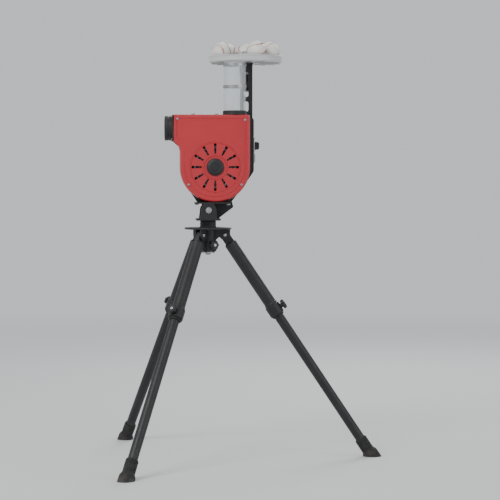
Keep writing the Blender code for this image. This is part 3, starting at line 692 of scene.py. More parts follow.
def weld_bead(name, points, radius, body, where=None, cyclic=False):
    """A ripple of weld along a joint."""
    bm = bmesh.new()
    track = [Vector(p) for p in points]
    reach = sum((b - a).length for a, b in zip(track, track[1:]))
    count = max(6, int(reach / (radius * 0.9)))
    if cyclic:
        track.append(track[0])
    lengths = [0.0]
    for a, b in zip(track, track[1:]):
        lengths.append(lengths[-1] + (b - a).length)
    for k in range(count):
        s = lengths[-1] * (k + 0.5) / count
        i = max(j for j, length in enumerate(lengths[:-1]) if length <= s)
        t = (s - lengths[i]) / max(1e-9, lengths[i + 1] - lengths[i])
        spot = track[i].lerp(track[i + 1], t)
        squeeze = Matrix.Diagonal((1.0, 1.0, 0.8 + 0.1 * sin(k * 2.4), 1.0))
        place = Matrix.Translation(spot) @ squeeze
        bmesh.ops.create_icosphere(bm, subdivisions=2, radius=radius, matrix=place)
    return settle(solid(name, bm, 60.0), body, "coat", where)


# ---- tripod ----
PIN_R = 0.062  # leg hinge pins, from the upright axis
LUG_IN = 0.0083  # faces of a hinge lug, from the leg's middle plane
LUG_OUT = 0.0143
HOLE_TURN = 61.3  # degrees from +X to the first hole in the hub's disc
SLEEVE_R = 0.03
SOCKET_R = 0.023
TUBE_R = 0.018
CLAMP_AT = 0.339
SOCKET_END = 0.36
TUBE_TOP = 0.0643
TUBE_END = 0.975


def make_hub():
    where = at(HUB_X, 0, 0)
    top = high("tripod_hub").z
    bottom = low("tripod_hub").z
    pin_z = joint_at("leg_1_fold").z
    hub = turned("hub_sleeve", [
        (0.0191, top), (0.0285, top), (SLEEVE_R, top - 0.0015), (SLEEVE_R, 0.866), (0.086, 0.866),
        (0.088, 0.864), (0.088, 0.86), (0.086, 0.858), (SLEEVE_R, 0.858), (SLEEVE_R, 0.812), (0.0315, 0.81),
        (0.0315, bottom), (0.0191, bottom)], 96, closed=True, edge=0.0012)
    holes = [ring((PIN_R * cos(a), PIN_R * sin(a)), 0.0095)
             for a in (radians(HOLE_TURN + 120 * k) for k in range(3))]
    pierce = [prism("disc_hole", [hole], 0.84, 0.88, 0) for hole in holes]
    settle(carve(hub, *pierce), "tripod", "coat", where, ["tripod_hub"])
    lug = [(0.026, 0.859), (0.026, 0.8165)] + arc((PIN_R, pin_z), 0.02, 200.0, 360.0, 20) + [(0.082, 0.859)]
    outline = [lug, ring((PIN_R, pin_z), 0.0045)]
    for leg in (1, 2, 3):
        axis = joint_axis(f"leg_{leg}_fold")
        out = axis.cross(UP)
        spot = axes((HUB_X, 0, 0), out, UP, out.cross(UP))
        for side, (near, far) in enumerate(((LUG_IN, LUG_OUT), (-LUG_OUT, -LUG_IN))):
            settle(prism(f"hub_lug_{leg}_{side + 1}", outline, near, far, 0.0009, 3), "tripod", "coat", spot)
            edge = far if near > 0 else near
            seam = [(0.033, 0.8575, edge), (0.08, 0.8575, edge)]
            weld_bead(f"lug_weld_{leg}_{side + 1}", seam, 0.0016, "tripod", spot)
        rivet = turned(f"leg_rivet_{leg}", [
            (0, 0.0192), (0.0035, 0.019), (0.0062, 0.0174), (0.0078, 0.015), (0.0078, 0.0146),
            (0.004, 0.0146), (0.004, -0.0146), (0.0078, -0.0146), (0.0078, -0.015), (0.0062, -0.0174),
            (0.0035, -0.019), (0, -0.0192)], 40, edge=0.0004)
        settle(rivet, "tripod", "zinc", along(joint_at(f"leg_{leg}_fold"), axis), [f"leg_hinge_pin_{leg}"])
    spot = along(joint_at("swivel_lock_turn"), joint_axis("swivel_lock_turn"))
    boss = turned("swivel_lock_boss", [(0.0045, 0.0335), (0.0085, 0.0335), (0.0095, 0.0315), (0.0095, 0.027),
                                       (0.0045, 0.027)], 48, closed=True)
    settle(boss, "tripod", "coat", spot)
    lobed_knob("swivel_lock", 0.018, 0.0145, 0.034, 0.0191, spot, "swivel_lock", "swivel_lock_knob")
    seam = [(x, y, 0.867) for x, y in ring((0, 0), SLEEVE_R + 0.0003, 40)]
    weld_bead("sleeve_weld", seam, 0.0018, "tripod", where, cyclic=True)
    cap = turned("sleeve_bushing", [
        (0.0193, top + 0.0008), (0.0262, top + 0.0008), (0.027, top + 0.0002), (0.027, top - 0.003),
        (0.0193, top - 0.003)], 72, closed=True, edge=0.0004)
    settle(cap, "tripod", "rubber", where)


def make_foot(leg, where):
    """A ribbed rubber tip, cut level where it meets the ground."""
    ribs = []
    for k in range(5):
        s = 0.934 + 0.0085 * k
        ribs += [(0.0234, -s), (0.0222, -s - 0.0014), (0.0222, -s - 0.0036), (0.0234, -s - 0.005)]
    profile = [(0, -0.9755), (TUBE_R + 0.0004, -0.9755), (TUBE_R + 0.0004, -0.925), (0.0215, -0.925),
               (0.023, -0.929)] + ribs
    profile += [(0.024, -0.979), (0.029, -0.988), (0.03, -0.996), (0.03, -1.07), (0, -1.07)]
    foot = turned(f"rubber_tip_{leg}", profile, 72, edge=0.0006)
    bm = bmesh.new()
    bm.from_mesh(foot.data)
    bm.transform(where)
    cut = bmesh.ops.bisect_plane(bm, geom=bm.verts[:] + bm.edges[:] + bm.faces[:], plane_co=(0, 0, 0.0002),
                                 plane_no=(0, 0, -1), clear_outer=True)
    bmesh.ops.holes_fill(bm, edges=[e for e in cut["geom_cut"] if isinstance(e, bmesh.types.BMEdge)])
    bm.to_mesh(foot.data)
    bm.free()
    shade(foot.data)
    return settle(foot, f"leg_{leg}_extension", "rubber", HERE, [f"leg_foot_{leg}"])


def make_leg(leg):
    """In the leg's frame: origin on the hinge pin, Y along the pin, and -Z down the leg."""
    pin = joint_axis(f"leg_{leg}_fold")
    down = joint_axis(f"leg_{leg}_extend")
    outward = joint_axis(f"leg_{leg}_lock_turn")
    where = axes(joint_at(f"leg_{leg}_fold"), outward, pin, -down)
    body = f"leg_{leg}"
    socket = turned(f"socket_{leg}", [
        (0, -0.035), (0.019, -0.035), (SOCKET_R, -0.039), (SOCKET_R, -0.308), (0.0245, -0.31),
        (0.0245, -0.3165), (0.028, -0.319), (0.028, -0.357), (0.0262, -SOCKET_END), (0.019, -SOCKET_END),
        (0.019, -0.33), (TUBE_R + 0.0003, -0.328), (TUBE_R + 0.0003, -0.3), (0, -0.3)], 72, edge=0.0009)
    slit = block("slit", (-0.04, -0.0011, -0.372), (-0.012, 0.0011, -0.322), 0.0002, 1)
    settle(carve(socket, slit), body, "coat", where, [f"leg_socket_{leg}"])
    tang = arc((0, 0), 0.017, 0.0, 180.0, 28) + [(-0.0172, -0.04), (-0.015, -0.0475), (0.015, -0.0475),
                                                 (0.0172, -0.04)]
    tang = prism(f"tang_{leg}", [tang, ring((0, 0), 0.0046)], -0.0078, 0.0078, 0.0009, 3)
    settle(tang, body, "coat", where @ UPRIGHT)
    for side in (-1, 1):
        edge = [(0.0165, side * 0.008, -0.0362), (-0.0165, side * 0.008, -0.0362)]
        weld_bead(f"tang_weld_{leg}_{side + 2}", edge, 0.0016, body, where)
    boss = turned(f"clamp_boss_{leg}", [(0.0045, 0.03), (0.0082, 0.03), (0.0095, 0.0285), (0.01, 0.024),
                                        (0.0045, 0.024)], 48, closed=True)
    knob = where @ at(0, 0, -CLAMP_AT) @ OUTWARD
    settle(boss, body, "coat", knob)
    lobed_knob(f"leg_lock_{leg}", 0.018, 0.0135, 0.0305, 0.0184, knob, f"leg_{leg}_lock",
               f"leg_lock_knob_{leg}")
    guide = turned(f"guide_ring_{leg}", [
        (TUBE_R + 0.0002, -SOCKET_END - 0.0004), (0.0225, -SOCKET_END - 0.0004), (0.024, -SOCKET_END - 0.002),
        (0.024, -SOCKET_END - 0.0045), (0.0215, -SOCKET_END - 0.007), (TUBE_R + 0.0002, -SOCKET_END - 0.007)],
        72, closed=True)
    settle(guide, body, "plastic", where)
    inner = TUBE_R - 0.002
    profile = [(TUBE_R, -TUBE_TOP), (TUBE_R, -TUBE_END), (inner, -TUBE_END), (inner, -TUBE_TOP)]
    tube = turned(f"tube_{leg}", profile, 72, closed=True)
    settle(tube, f"leg_{leg}_extension", "coat", where, [f"leg_tube_{leg}"])
    make_foot(leg, where)


# ---- swivel and tilt ----
CHEEK_IN = 0.0523
CHEEK_OUT = 0.0583
QUADRANT_R = 0.08


def make_yoke():
    spot = at(HUB_X, 0, 0)
    base = rectangle(-0.045, -CHEEK_OUT, 0.045, CHEEK_OUT, 0.006, 6)
    settle(prism("yoke_base", [base], 0.8915, 0.8995, 0.0012, 3), "swivel", "coat", spot, ["tilt_yoke"])
    profile = [(0, 0.8925), (0.0188, 0.8925), (0.0188, 0.777), (0.0176, 0.776), (0, 0.776)]
    post = turned("yoke_post", profile, 72)
    settle(post, "swivel", "zinc", spot)
    pivot = (0.0, PIVOT.z)
    hole = ring(pivot, 0.0053)
    face = spot @ UPRIGHT
    left = [(0.032, 0.899)] + arc(pivot, 0.028, 0.0, 180.0, 40) + [(-0.032, 0.899)]
    settle(prism("yoke_cheek_left", [left, hole], CHEEK_IN, CHEEK_OUT, 0.0011, 3), "swivel", "coat", face)
    right = [(0.043, 0.899)] + arc(pivot, 0.098, 6.0, 84.0, 48) + arc(pivot, 0.028, 105.0, 180.0, 20)
    right.append((-0.032, 0.899))
    slot = arc(pivot, QUADRANT_R + 0.0045, 16.0, 74.0, 36)
    for turn, start in ((74.0, 74.0), (16.0, 196.0)):
        a = radians(turn)
        end = (QUADRANT_R * cos(a), pivot[1] + QUADRANT_R * sin(a))
        slot += arc(end, 0.0045, start, start + 180.0, 14)[1:-1]
        if turn > 50:
            slot += arc(pivot, QUADRANT_R - 0.0045, 74.0, 16.0, 36)
    quadrant = prism("yoke_quadrant", [right, hole, slot], -CHEEK_OUT, -CHEEK_IN, 0.0011, 3)
    settle(quadrant, "swivel", "coat", face)
    for side in (-1, 1):
        y = side * CHEEK_OUT - side * 0.0063
        weld_bead(f"cheek_weld_{side + 2}", [(-0.03, y, 0.9), (0.03, y, 0.9)], 0.002, "swivel", spot)
    marks = []
    for k in range(11):
        a = radians(70.0 - 5.0 * k)
        length = 0.006 if k % 2 == 0 else 0.0035
        mark = block("mark", (0.0, -0.0004, 0.0), (length, 0.0004, 0.0003), 0.0001, 1)
        marks.append(moved(mark, at(0, PIVOT.z, CHEEK_OUT + 0.00005) @ spin(a) @ at(0.0872, 0, 0)))
    outer = spot @ axes((0, 0, 0), (1, 0, 0), UP, (0, 1, 0))
    settle(joined("tilt_scale", marks), "swivel", "white", outer)
    pivot_out = along((HUB_X, CHEEK_OUT + 0.0002, PIVOT.z), (0, 1, 0))
    hex_bolt("tilt_nut", 0.0092, 0.0075, pivot_out, "swivel")
    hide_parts("tilt_pivot_nut")
    pivot_in = along((HUB_X, -CHEEK_OUT - 0.0002, PIVOT.z), (0, -1, 0))
    hex_bolt("tilt_bolt_head", 0.0092, 0.0068, pivot_in, "swivel")
    shank = turned("tilt_bolt_shank", [(0, 0.0672), (0.0042, 0.0672), (0.005, 0.066), (0.005, -0.059),
                                       (0, -0.059)], 40)
    settle(shank, "swivel", "zinc", along((HUB_X, 0, PIVOT.z), (0, 1, 0)), ["tilt_pivot_bolt"])
    retainer = turned("retainer_washer", [(0, 0.7757), (0.0245, 0.7757), (0.026, 0.7745), (0.026, 0.7715),
                                          (0.0245, 0.77), (0, 0.77)], 72)
    settle(retainer, "swivel", "zinc", spot, ["swivel_retainer_bolt"])
    hex_bolt("retainer_head", 0.0095, 0.0065, along((HUB_X, 0, 0.7699), (0, 0, -1)), "swivel")
    lock = along(joint_at("tilt_lock_turn"), (0, 1, 0))
    lock.translation.y = 0.0
    lobed_knob("tilt_lock", 0.021, 0.015, CHEEK_OUT + 0.0025, 0.0466, lock, "tilt_lock", "tilt_lock_knob")
    washer = turned("tilt_lock_washer", [(0.0043, 0.0606), (0.0105, 0.0606), (0.011, 0.0601), (0.011, 0.0589),
                                         (0.0043, 0.0586)], 48, closed=True, edge=0.0003)
    settle(washer, "tilt_lock", "zinc", lock)


PLATE_IN = 0.046  # faces of the steel plate beside the housing
PLATE_OUT = 0.052


def make_main_frame():
    """The motor plate, foot flange and tilt lugs, with softened edges and welds."""
    spot = at(AXLE.x, 0, 0) @ UPRIGHT
    lock = joint_at("tilt_lock_turn")
    outline = [(-0.06, 0.9537, 0.004), (0.06, 0.9537, 0.004), (0.112, 1.02, 0.03), (0.15, 1.075, 0.02)]
    outline += [(0.15, 1.277, 0.012), (-0.115, 1.277, 0.012), (-0.115, 1.07, 0.03), (-0.098, 1.01, 0.03)]
    holes = [ring((0.0, AXLE.z), 0.026, 56), ring((lock.x - AXLE.x, lock.z), 0.0043, 24)]
    plate = prism("frame_plate", [soften(outline, 0.01, steps=8)] + holes, -PLATE_OUT, -PLATE_IN, 0.0009, 3)
    settle(plate, "head", "coat", spot, ["main_frame"])
    flange = block("foot_flange", (-0.075, -0.0518, 0.954), (0.058, 0.0465, 0.9596), 0.0012)
    settle(flange, "head", "coat", at(AXLE.x, 0, 0))
    pivot = (HUB_X - AXLE.x, PIVOT.z)
    lug = [(pivot[0] + 0.0215, 0.9548), (pivot[0] - 0.0215, 0.9548)] + arc(pivot, 0.0215, 180.0, 360.0, 32)
    for side, (near, far) in enumerate(((-0.0516, -0.044), (0.044, 0.052))):
        plate = prism(f"tilt_lug_{side + 1}", [lug, ring(pivot, 0.0053)], near, far, 0.001, 3)
        settle(plate, "head", "coat", spot)
    weld_bead("flange_weld", [(-0.055, 0.0455, 0.96), (0.055, 0.0455, 0.96)], 0.0018, "head",
              at(AXLE.x, 0, 0))
    for k, (x, z) in enumerate(((-0.068, 0.954), (0.05, 0.954))):
        for j, y in enumerate((-0.036, 0.03)):
            below = along((AXLE.x + x, y, z - 0.0001), (0, 0, -1))
            hex_bolt(f"flange_bolt_{k + 1}_{j + 1}", 0.0062, 0.0045, below, "head")


# ---- housing ----
SHELL_WALL = 0.004
BARREL_LOW = 1.185
VENTS = 12


def shell_outline(inset, front):
    """The side outline about the axle's X, its points always in the same order and number."""
    r = SHELL_R - inset
    corner = max(0.004, 0.012 - inset * 0.5)
    points = [(-front, BARREL_LOW + inset), (-front, SHELL_TOP - inset)]
    points += arc((r - corner, SHELL_TOP - inset - corner), corner, 90.0, 0.0, 8)
    points += arc((0.0, AXLE.z), r, 0.0, -180.0, 72)
    points += [(-r, 1.15), (-r - 0.004 * (1 if inset < 0.02 else 0.4), 1.166 + inset * 0.6)]
    return points


def lofted(name, levels):
    """A closed solid through outlines at several Y values: levels are (inset, front, y)."""
    bm = bmesh.new()
    loops = [[bm.verts.new((x, y, z)) for x, z in shell_outline(inset, front)] for inset, front, y in levels]
    count = len(loops[0])
    for a, b in zip(loops, loops[1:]):
        for i in range(count):
            j = (i + 1) % count
            bm.faces.new((a[i], a[j], b[j], b[i]))
    bm.faces.new(loops[0])
    bm.faces.new(loops[-1])
    bmesh.ops.recalc_face_normals(bm, faces=bm.faces)
    return solid(name, bm)


SCREW_SPOTS = [middle(f"cover_screw_{i}") - Vector((AXLE.x, 0, 0)) for i in (1, 2, 3, 4)]
SIDE_ON = {-1: Matrix.Rotation(pi / 2, 4, "X"), 1: Matrix.Rotation(-pi / 2, 4, "X")}


def make_shell(name, side, node):
    """One half of the red housing: rounded rim, a raised band that follows it, and a recessed panel."""
    f = BARREL_FRONT
    rim = [(0.0, f, GAP / 2), (0.0, f, SHELL_HALF - 0.008)]
    for k in range(1, 7):
        a = radians(15 * k)
        rim.append((0.008 * (1 - cos(a)), f - 0.0004 * k, SHELL_HALF - 0.008 + 0.008 * sin(a)))
    face = [(0.0135, f - 0.01, SHELL_HALF), (0.015, f - 0.011, SHELL_HALF - 0.0014),
            (0.0185, f - 0.014, SHELL_HALF - 0.0014), (0.02, f - 0.015, SHELL_HALF)]
    levels = [(inset, front, side * y) for inset, front, y in rim + face]
    shell = lofted(name, levels)
    inner = side * (SHELL_HALF - SHELL_WALL)
    hollow = lofted(name + "_hollow", [(SHELL_WALL, f + 0.02, y) for y in (-side * 0.02, inner)])
    inlet = moved(prism("inlet", [ring((0, 0), BORE_R + 0.0004, 64)], 1.262, 1.31, 0),
                  at(DROP.x - AXLE.x, 0, 0))
    cutters = [hollow, inlet]
    axle = at(0, 0, AXLE.z) @ SIDE_ON[side]
    if side < 0:
        vent = soften([(0.05, -0.0034), (0.088, -0.005), (0.088, 0.005), (0.05, 0.0034)], 0.0033, steps=5)
        slots = [moved(prism("slot", [vent], 0.035, 0.055, 0), axle @ spin(2 * pi * k / VENTS))
                 for k in range(VENTS)]
        recess = moved(turned("recess", [(0, 0.06), (0.0965, 0.06), (0.095, SHELL_HALF - 0.001),
                                         (0, SHELL_HALF - 0.001)], 100, edge=0), axle)
        cutters.append(recess)
        cutters += slots
        cutters.append(moved(prism("spigot", [ring((0, 0), 0.0116, 46)], 0.03, 0.06, 0), axle))
        for spot in SCREW_SPOTS:
            here = at(spot.x, 0, spot.z) @ SIDE_ON[side]
            cutters.append(moved(prism("hole", [ring((0, 0), 0.0023, 20)], 0.03, 0.06, 0), here))
    else:
        cutters.append(moved(prism("shaft_way", [ring((0, 0), 0.03, 64)], 0.03, 0.06, 0), axle))
    carve(shell, *cutters)
    soft = shell.modifiers.new("edges", "BEVEL")
    soft.width = 0.0006
    soft.segments = 2
    soft.limit_method = "ANGLE"
    soft.angle_limit = radians(50)
    return settle(shell, "head", "red", at(AXLE.x, 0, 0), [node])


def make_housing():
    make_shell("shell_left", -1, "housing_left")
    make_shell("shell_right", 1, "housing_right")
    axle = at(AXLE.x, 0, AXLE.z) @ SIDE_ON[-1]
    base = SHELL_HALF - 0.001
    cap = turned("hub_cap_dome", [
        (0, 0.0555), (0.012, 0.0553), (0.0135, 0.0538), (0.016, 0.0538), (0.0175, 0.055), (0.024, 0.0538),
        (0.03, 0.051), (0.032, 0.0485), (0.032, base), (0.0113, base), (0.0113, 0.042), (0, 0.042)], 96)
    settle(cap, "head", "plastic", axle, ["hub_cap"])
    for hoop, near, far, rise, sides in (("vent_hoop", 0.0415, 0.0465, 0.0022, 96),
                                         ("vent_hoop_outer", 0.0895, 0.0935, 0.0016, 120)):
        profile = [(near + 0.001, base + rise), (far - 0.001, base + rise), (far, base + 0.0004),
                   (far, base - 0.0004), (near, base - 0.0004), (near, base + 0.0004)]
        settle(turned(hoop, profile, sides, closed=True), "head", "red", axle)
    for k in range(4):
        loop = [(x, y, 0.0405) for x, y in ring((0, 0), 0.054 + 0.0085 * k, 72)]
        settle(cable(f"guard_wire_{k + 1}", loop, 0.0009, True), "head", "coat", axle)
    for k in range(6):
        a = pi * k / 3 + pi / 12
        span = [(r * cos(a), r * sin(a), 0.039) for r in (0.034, 0.096)]
        settle(cable(f"guard_spoke_{k + 1}", span, 0.0011), "head", "coat", axle)
    for i, spot in enumerate(SCREW_SPOTS, 1):
        here = at(AXLE.x + spot.x, 0, spot.z) @ SIDE_ON[-1]
        boss = turned(f"screw_boss_{i}", [(0.0023, SHELL_HALF + 0.0006), (0.0062, SHELL_HALF + 0.0006),
                                          (0.0075, SHELL_HALF - 0.0006), (0.0023, SHELL_HALF - 0.0006)], 48,
                      closed=True, edge=0.0003)
        settle(boss, "head", "red", here)
        socket_screw(f"shell_screw_{i}", 0.0044, 0.0026, here @ at(0, 0, SHELL_HALF + 0.0007), "head")
        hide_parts(f"cover_screw_{i}")


def make_muzzle():
    where = at(AXLE.x, 0, PATH_Z) @ Matrix.Rotation(-pi / 2, 4, "Y")
    f = BARREL_FRONT + GAP
    collar = turned("muzzle", [
        (0.0408, f + 0.0316), (0.0432, f + 0.0316), (0.0459, f + 0.029), (0.0459, f + 0.02),
        (0.0448, f + 0.0185), (0.0448, f + 0.014), (0.0459, f + 0.0125), (0.0459, f + 0.003),
        (BORE_R, f + 0.003), (BORE_R, f + 0.0285)], 120, closed=True, edge=0.0008)
    settle(collar, "head", "plastic", where, ["muzzle_collar"])
    tall, wide = 0.0485, 0.0455
    outline = [rectangle(-tall, -wide, tall, wide, 0.007, 8), ring((0, 0), 0.0425, 96)]
    settle(prism("muzzle_flange", outline, f, f + 0.0045, 0.0011, 3), "head", "plastic", where)
    for i, (x, y) in enumerate(((-1, -1), (1, -1), (1, 1), (-1, 1)), 1):
        spot = where @ at(x * (tall - 0.0068), y * (wide - 0.0068), f + 0.0046)
        socket_screw(f"muzzle_screw_{i}", 0.0042, 0.0026, spot, "head")
    lip = turned("muzzle_lip", [
        (BORE_R + 0.0001, f + 0.027), (BORE_R + 0.0001, f + 0.005), (BORE_R - 0.0014, f + 0.006),
        (BORE_R - 0.0014, f + 0.026)], 96, closed=True, edge=0.0005)
    settle(lip, "head", "rubber", where)
    floor = soften([(-0.0377, 0.0), (0.0377, 0.0), (0.0377, 0.034), (0.036, 0.034), (0.036, 0.0018),
                    (-0.036, 0.0018), (-0.036, 0.034), (-0.0377, 0.034)], 0.0008)
    liner = prism("barrel_liner", [floor], 0.0, BARREL_FRONT - 0.101, 0.0004, 1)
    settle(liner, "head", "brushed", axes((AXLE.x - 0.1, 0, 1.1895), (0, 1, 0), UP, (-1, 0, 0)))


def make_ball_way():
    """Feed trough, pinch plate and pad, which show through the muzzle."""
    lo, hi = ends("feed_trough")
    where = at(AXLE.x + 0.085, 0, 1.1985) @ Matrix.Rotation(radians(-4.0), 4, "Y")
    half = (hi.y - lo.y) / 2
    inner = half - 0.0025
    section = soften([(-half, 0.046), (-half, 0.0), (half, 0.0), (half, 0.046), (inner, 0.046),
                      (inner, 0.003), (-inner, 0.003), (-inner, 0.046)], 0.0012, steps=4)
    trough = prism("feed_channel", [section], -0.0395, 0.04, 0.0005, 2)
    settle(trough, "head", "brushed", where @ facing_back(0), ["feed_trough"])
    lo, hi = ends("pinch_plate")
    settle(block("pinch_shoe", lo, hi, 0.0012), "head", "brushed", HERE, ["pinch_plate"])
    lo, hi = ends("pinch_pad")
    pad = block("pinch_rubber", lo, hi, 0.0025, 4)
    grooves = []
    for k in range(6):
        x = lo.x + 0.01 + 0.01 * k
        far = (x + 0.0016, hi.y + 0.01, lo.z + 0.0014)
        grooves.append(block("groove", (x, lo.y - 0.01, lo.z - 0.01), far, 0.0003, 1))
    settle(carve(pad, joined("grooves", grooves)), "head", "rubber", HERE, ["pinch_pad"])
    for k, x in enumerate((AXLE.x - 0.08, AXLE.x + 0.006)):
        for j, y in enumerate((-0.022, 0.022)):
            above = along((x, y, SHELL_TOP + 0.0001), UP)
            hex_bolt(f"pinch_bolt_{k + 1}_{j + 1}", 0.0058, 0.0042, above, "head")


# ---- wheel and motor ----
def make_wheel():
    where = along(AXLE, (0, 1, 0))
    rim = turned("rim", [
        (0.0777, 0.0262), (0.0777, -0.0262), (0.0735, -0.0262), (0.069, -0.0245), (0.066, -0.006),
        (0.06, -0.0045), (0.024, -0.0045), (0.018, -0.01), (0.018, -0.0275), (0.0063, -0.0275),
        (0.0063, 0.0275), (0.018, 0.0275), (0.018, 0.01), (0.024, 0.0045), (0.06, 0.0045), (0.066, 0.006),
        (0.069, 0.0245), (0.0735, 0.0262)], 96, closed=True, edge=0.0012)
    holes = [moved(prism("hole", [ring((0, 0), 0.0135, 40)], -0.02, 0.02, 0),
                   spin(pi * k / 3) @ at(0.042, 0, 0)) for k in range(6)]
    settle(carve(rim, joined("holes", holes)), "wheel", "cast", where, ["wheel_rim"])
    tread = []
    for k in range(5, -6, -1):
        y = k * 0.0042
        tread += [(0.1097, y + 0.0012), (0.1084, y + 0.0008), (0.1084, y - 0.0008), (0.1097, y - 0.0012)]
    tyre = turned("tyre", [(0.098, 0.0272), (0.106, 0.0262), (0.1092, 0.0242)] + tread + [
        (0.1092, -0.0242), (0.106, -0.0262), (0.098, -0.0272), (0.088, -0.0262), (0.08, -0.0272),
        (0.0781, -0.0272), (0.0781, 0.0272), (0.08, 0.0272), (0.088, 0.0262)], 144, closed=True, edge=0.0004)
    settle(tyre, "wheel", "rubber", where, ["wheel_tyre"])
    nut = prism("axle_nut", [hexagon(0.0115), ring((0, 0), 0.0062)], -0.0385, -0.03, 0.0006, 2)
    settle(nut, "wheel", "zinc", where, ["wheel_nut"])
    shaft = turned("axle_shaft", [
        (0, 0.155), (0.005, 0.155), (0.005, 0.144), (0.006, 0.143), (0.006, -0.0385), (0.005, -0.0395),
        (0, -0.0395)], 48)
    settle(shaft, "wheel", "zinc", where, ["motor_armature"])


def make_motor():
    where = along((AXLE.x, 0, AXLE.z), (0, 1, 0))
    front = turned("front_bell", [
        (0.0452, 0.072), (0.0452, 0.057), (0.0425, 0.053), (0.0425, 0.0523), (0.0253, 0.0523),
        (0.0253, 0.0466), (0.007, 0.0466), (0.007, 0.064), (0.038, 0.064), (0.038, 0.072)],
        96, closed=True, edge=0.0008)
    settle(front, "head", "cast", where, ["motor_front_bell"])
    can = turned("can", [
        (0.0452, 0.1495), (0.0452, 0.144), (0.0447, 0.1435), (0.0447, 0.0785), (0.0452, 0.078),
        (0.0452, 0.0725), (0.0412, 0.0725), (0.0412, 0.1495)], 96, closed=True, edge=0.0003)
    settle(can, "head", "motor", where, ["motor_can"])
    rear = turned("rear_bell", [
        (0, 0.17), (0.011, 0.17), (0.0125, 0.169), (0.014, 0.1675), (0.029, 0.1685), (0.042, 0.1655),
        (0.0452, 0.161), (0.0452, 0.15), (0.038, 0.15), (0.038, 0.158), (0, 0.158)], 96, edge=0.0009)
    slots = []
    for k in range(10):
        slot = block("slot", (0.019, -0.002, 0.15), (0.036, 0.002, 0.18), 0.0015)
        slots.append(moved(slot, spin(pi * (2 * k + 1) / 10)))
    settle(carve(rear, joined("slots", slots)), "head", "cast", where, ["motor_rear_bell"])
    for k in range(4):
        a = pi * k / 2 + pi / 4
        fan = where @ spin(a) @ at(0.0395, 0, 0.1668)
        socket_screw(f"bell_screw_{k + 1}", 0.0032, 0.003, fan, "head")
    for k in range(2):
        a = pi * k + pi / 2
        side = where @ spin(a) @ at(0.0448, 0, 0.1555) @ OUTWARD
        profile = [(0, 0.0048), (0.0042, 0.0048), (0.0052, 0.004), (0.0052, 0.0), (0, 0.0)]
        cap = turned(f"brush_cap_{k + 1}", profile, 40)
        carve(cap, block("slit", (-0.004, -0.0006, 0.0036), (0.004, 0.0006, 0.006), 0.0002, 1))
        settle(cap, "head", "plastic", side)
    fins = []
    for k in range(24):
        a = 2 * pi * k / 24
        if abs(sin(a)) < 0.9:
            fin = block("fin", (0.0446, -0.0011, 0.08), (0.0472, 0.0011, 0.142), 0.0007, 2)
            fins.append(moved(fin, spin(a)))
    settle(joined("can_fins", fins), "head", "motor", where)
    tag = block("rating_plate", (-0.012, -0.02, 0.0), (0.012, 0.02, 0.0006), 0.0002, 1)
    turn = where @ spin(pi / 2) @ at(0.0449, 0, 0.111)
    settle(tag, "head", "brushed", turn @ OUTWARD)


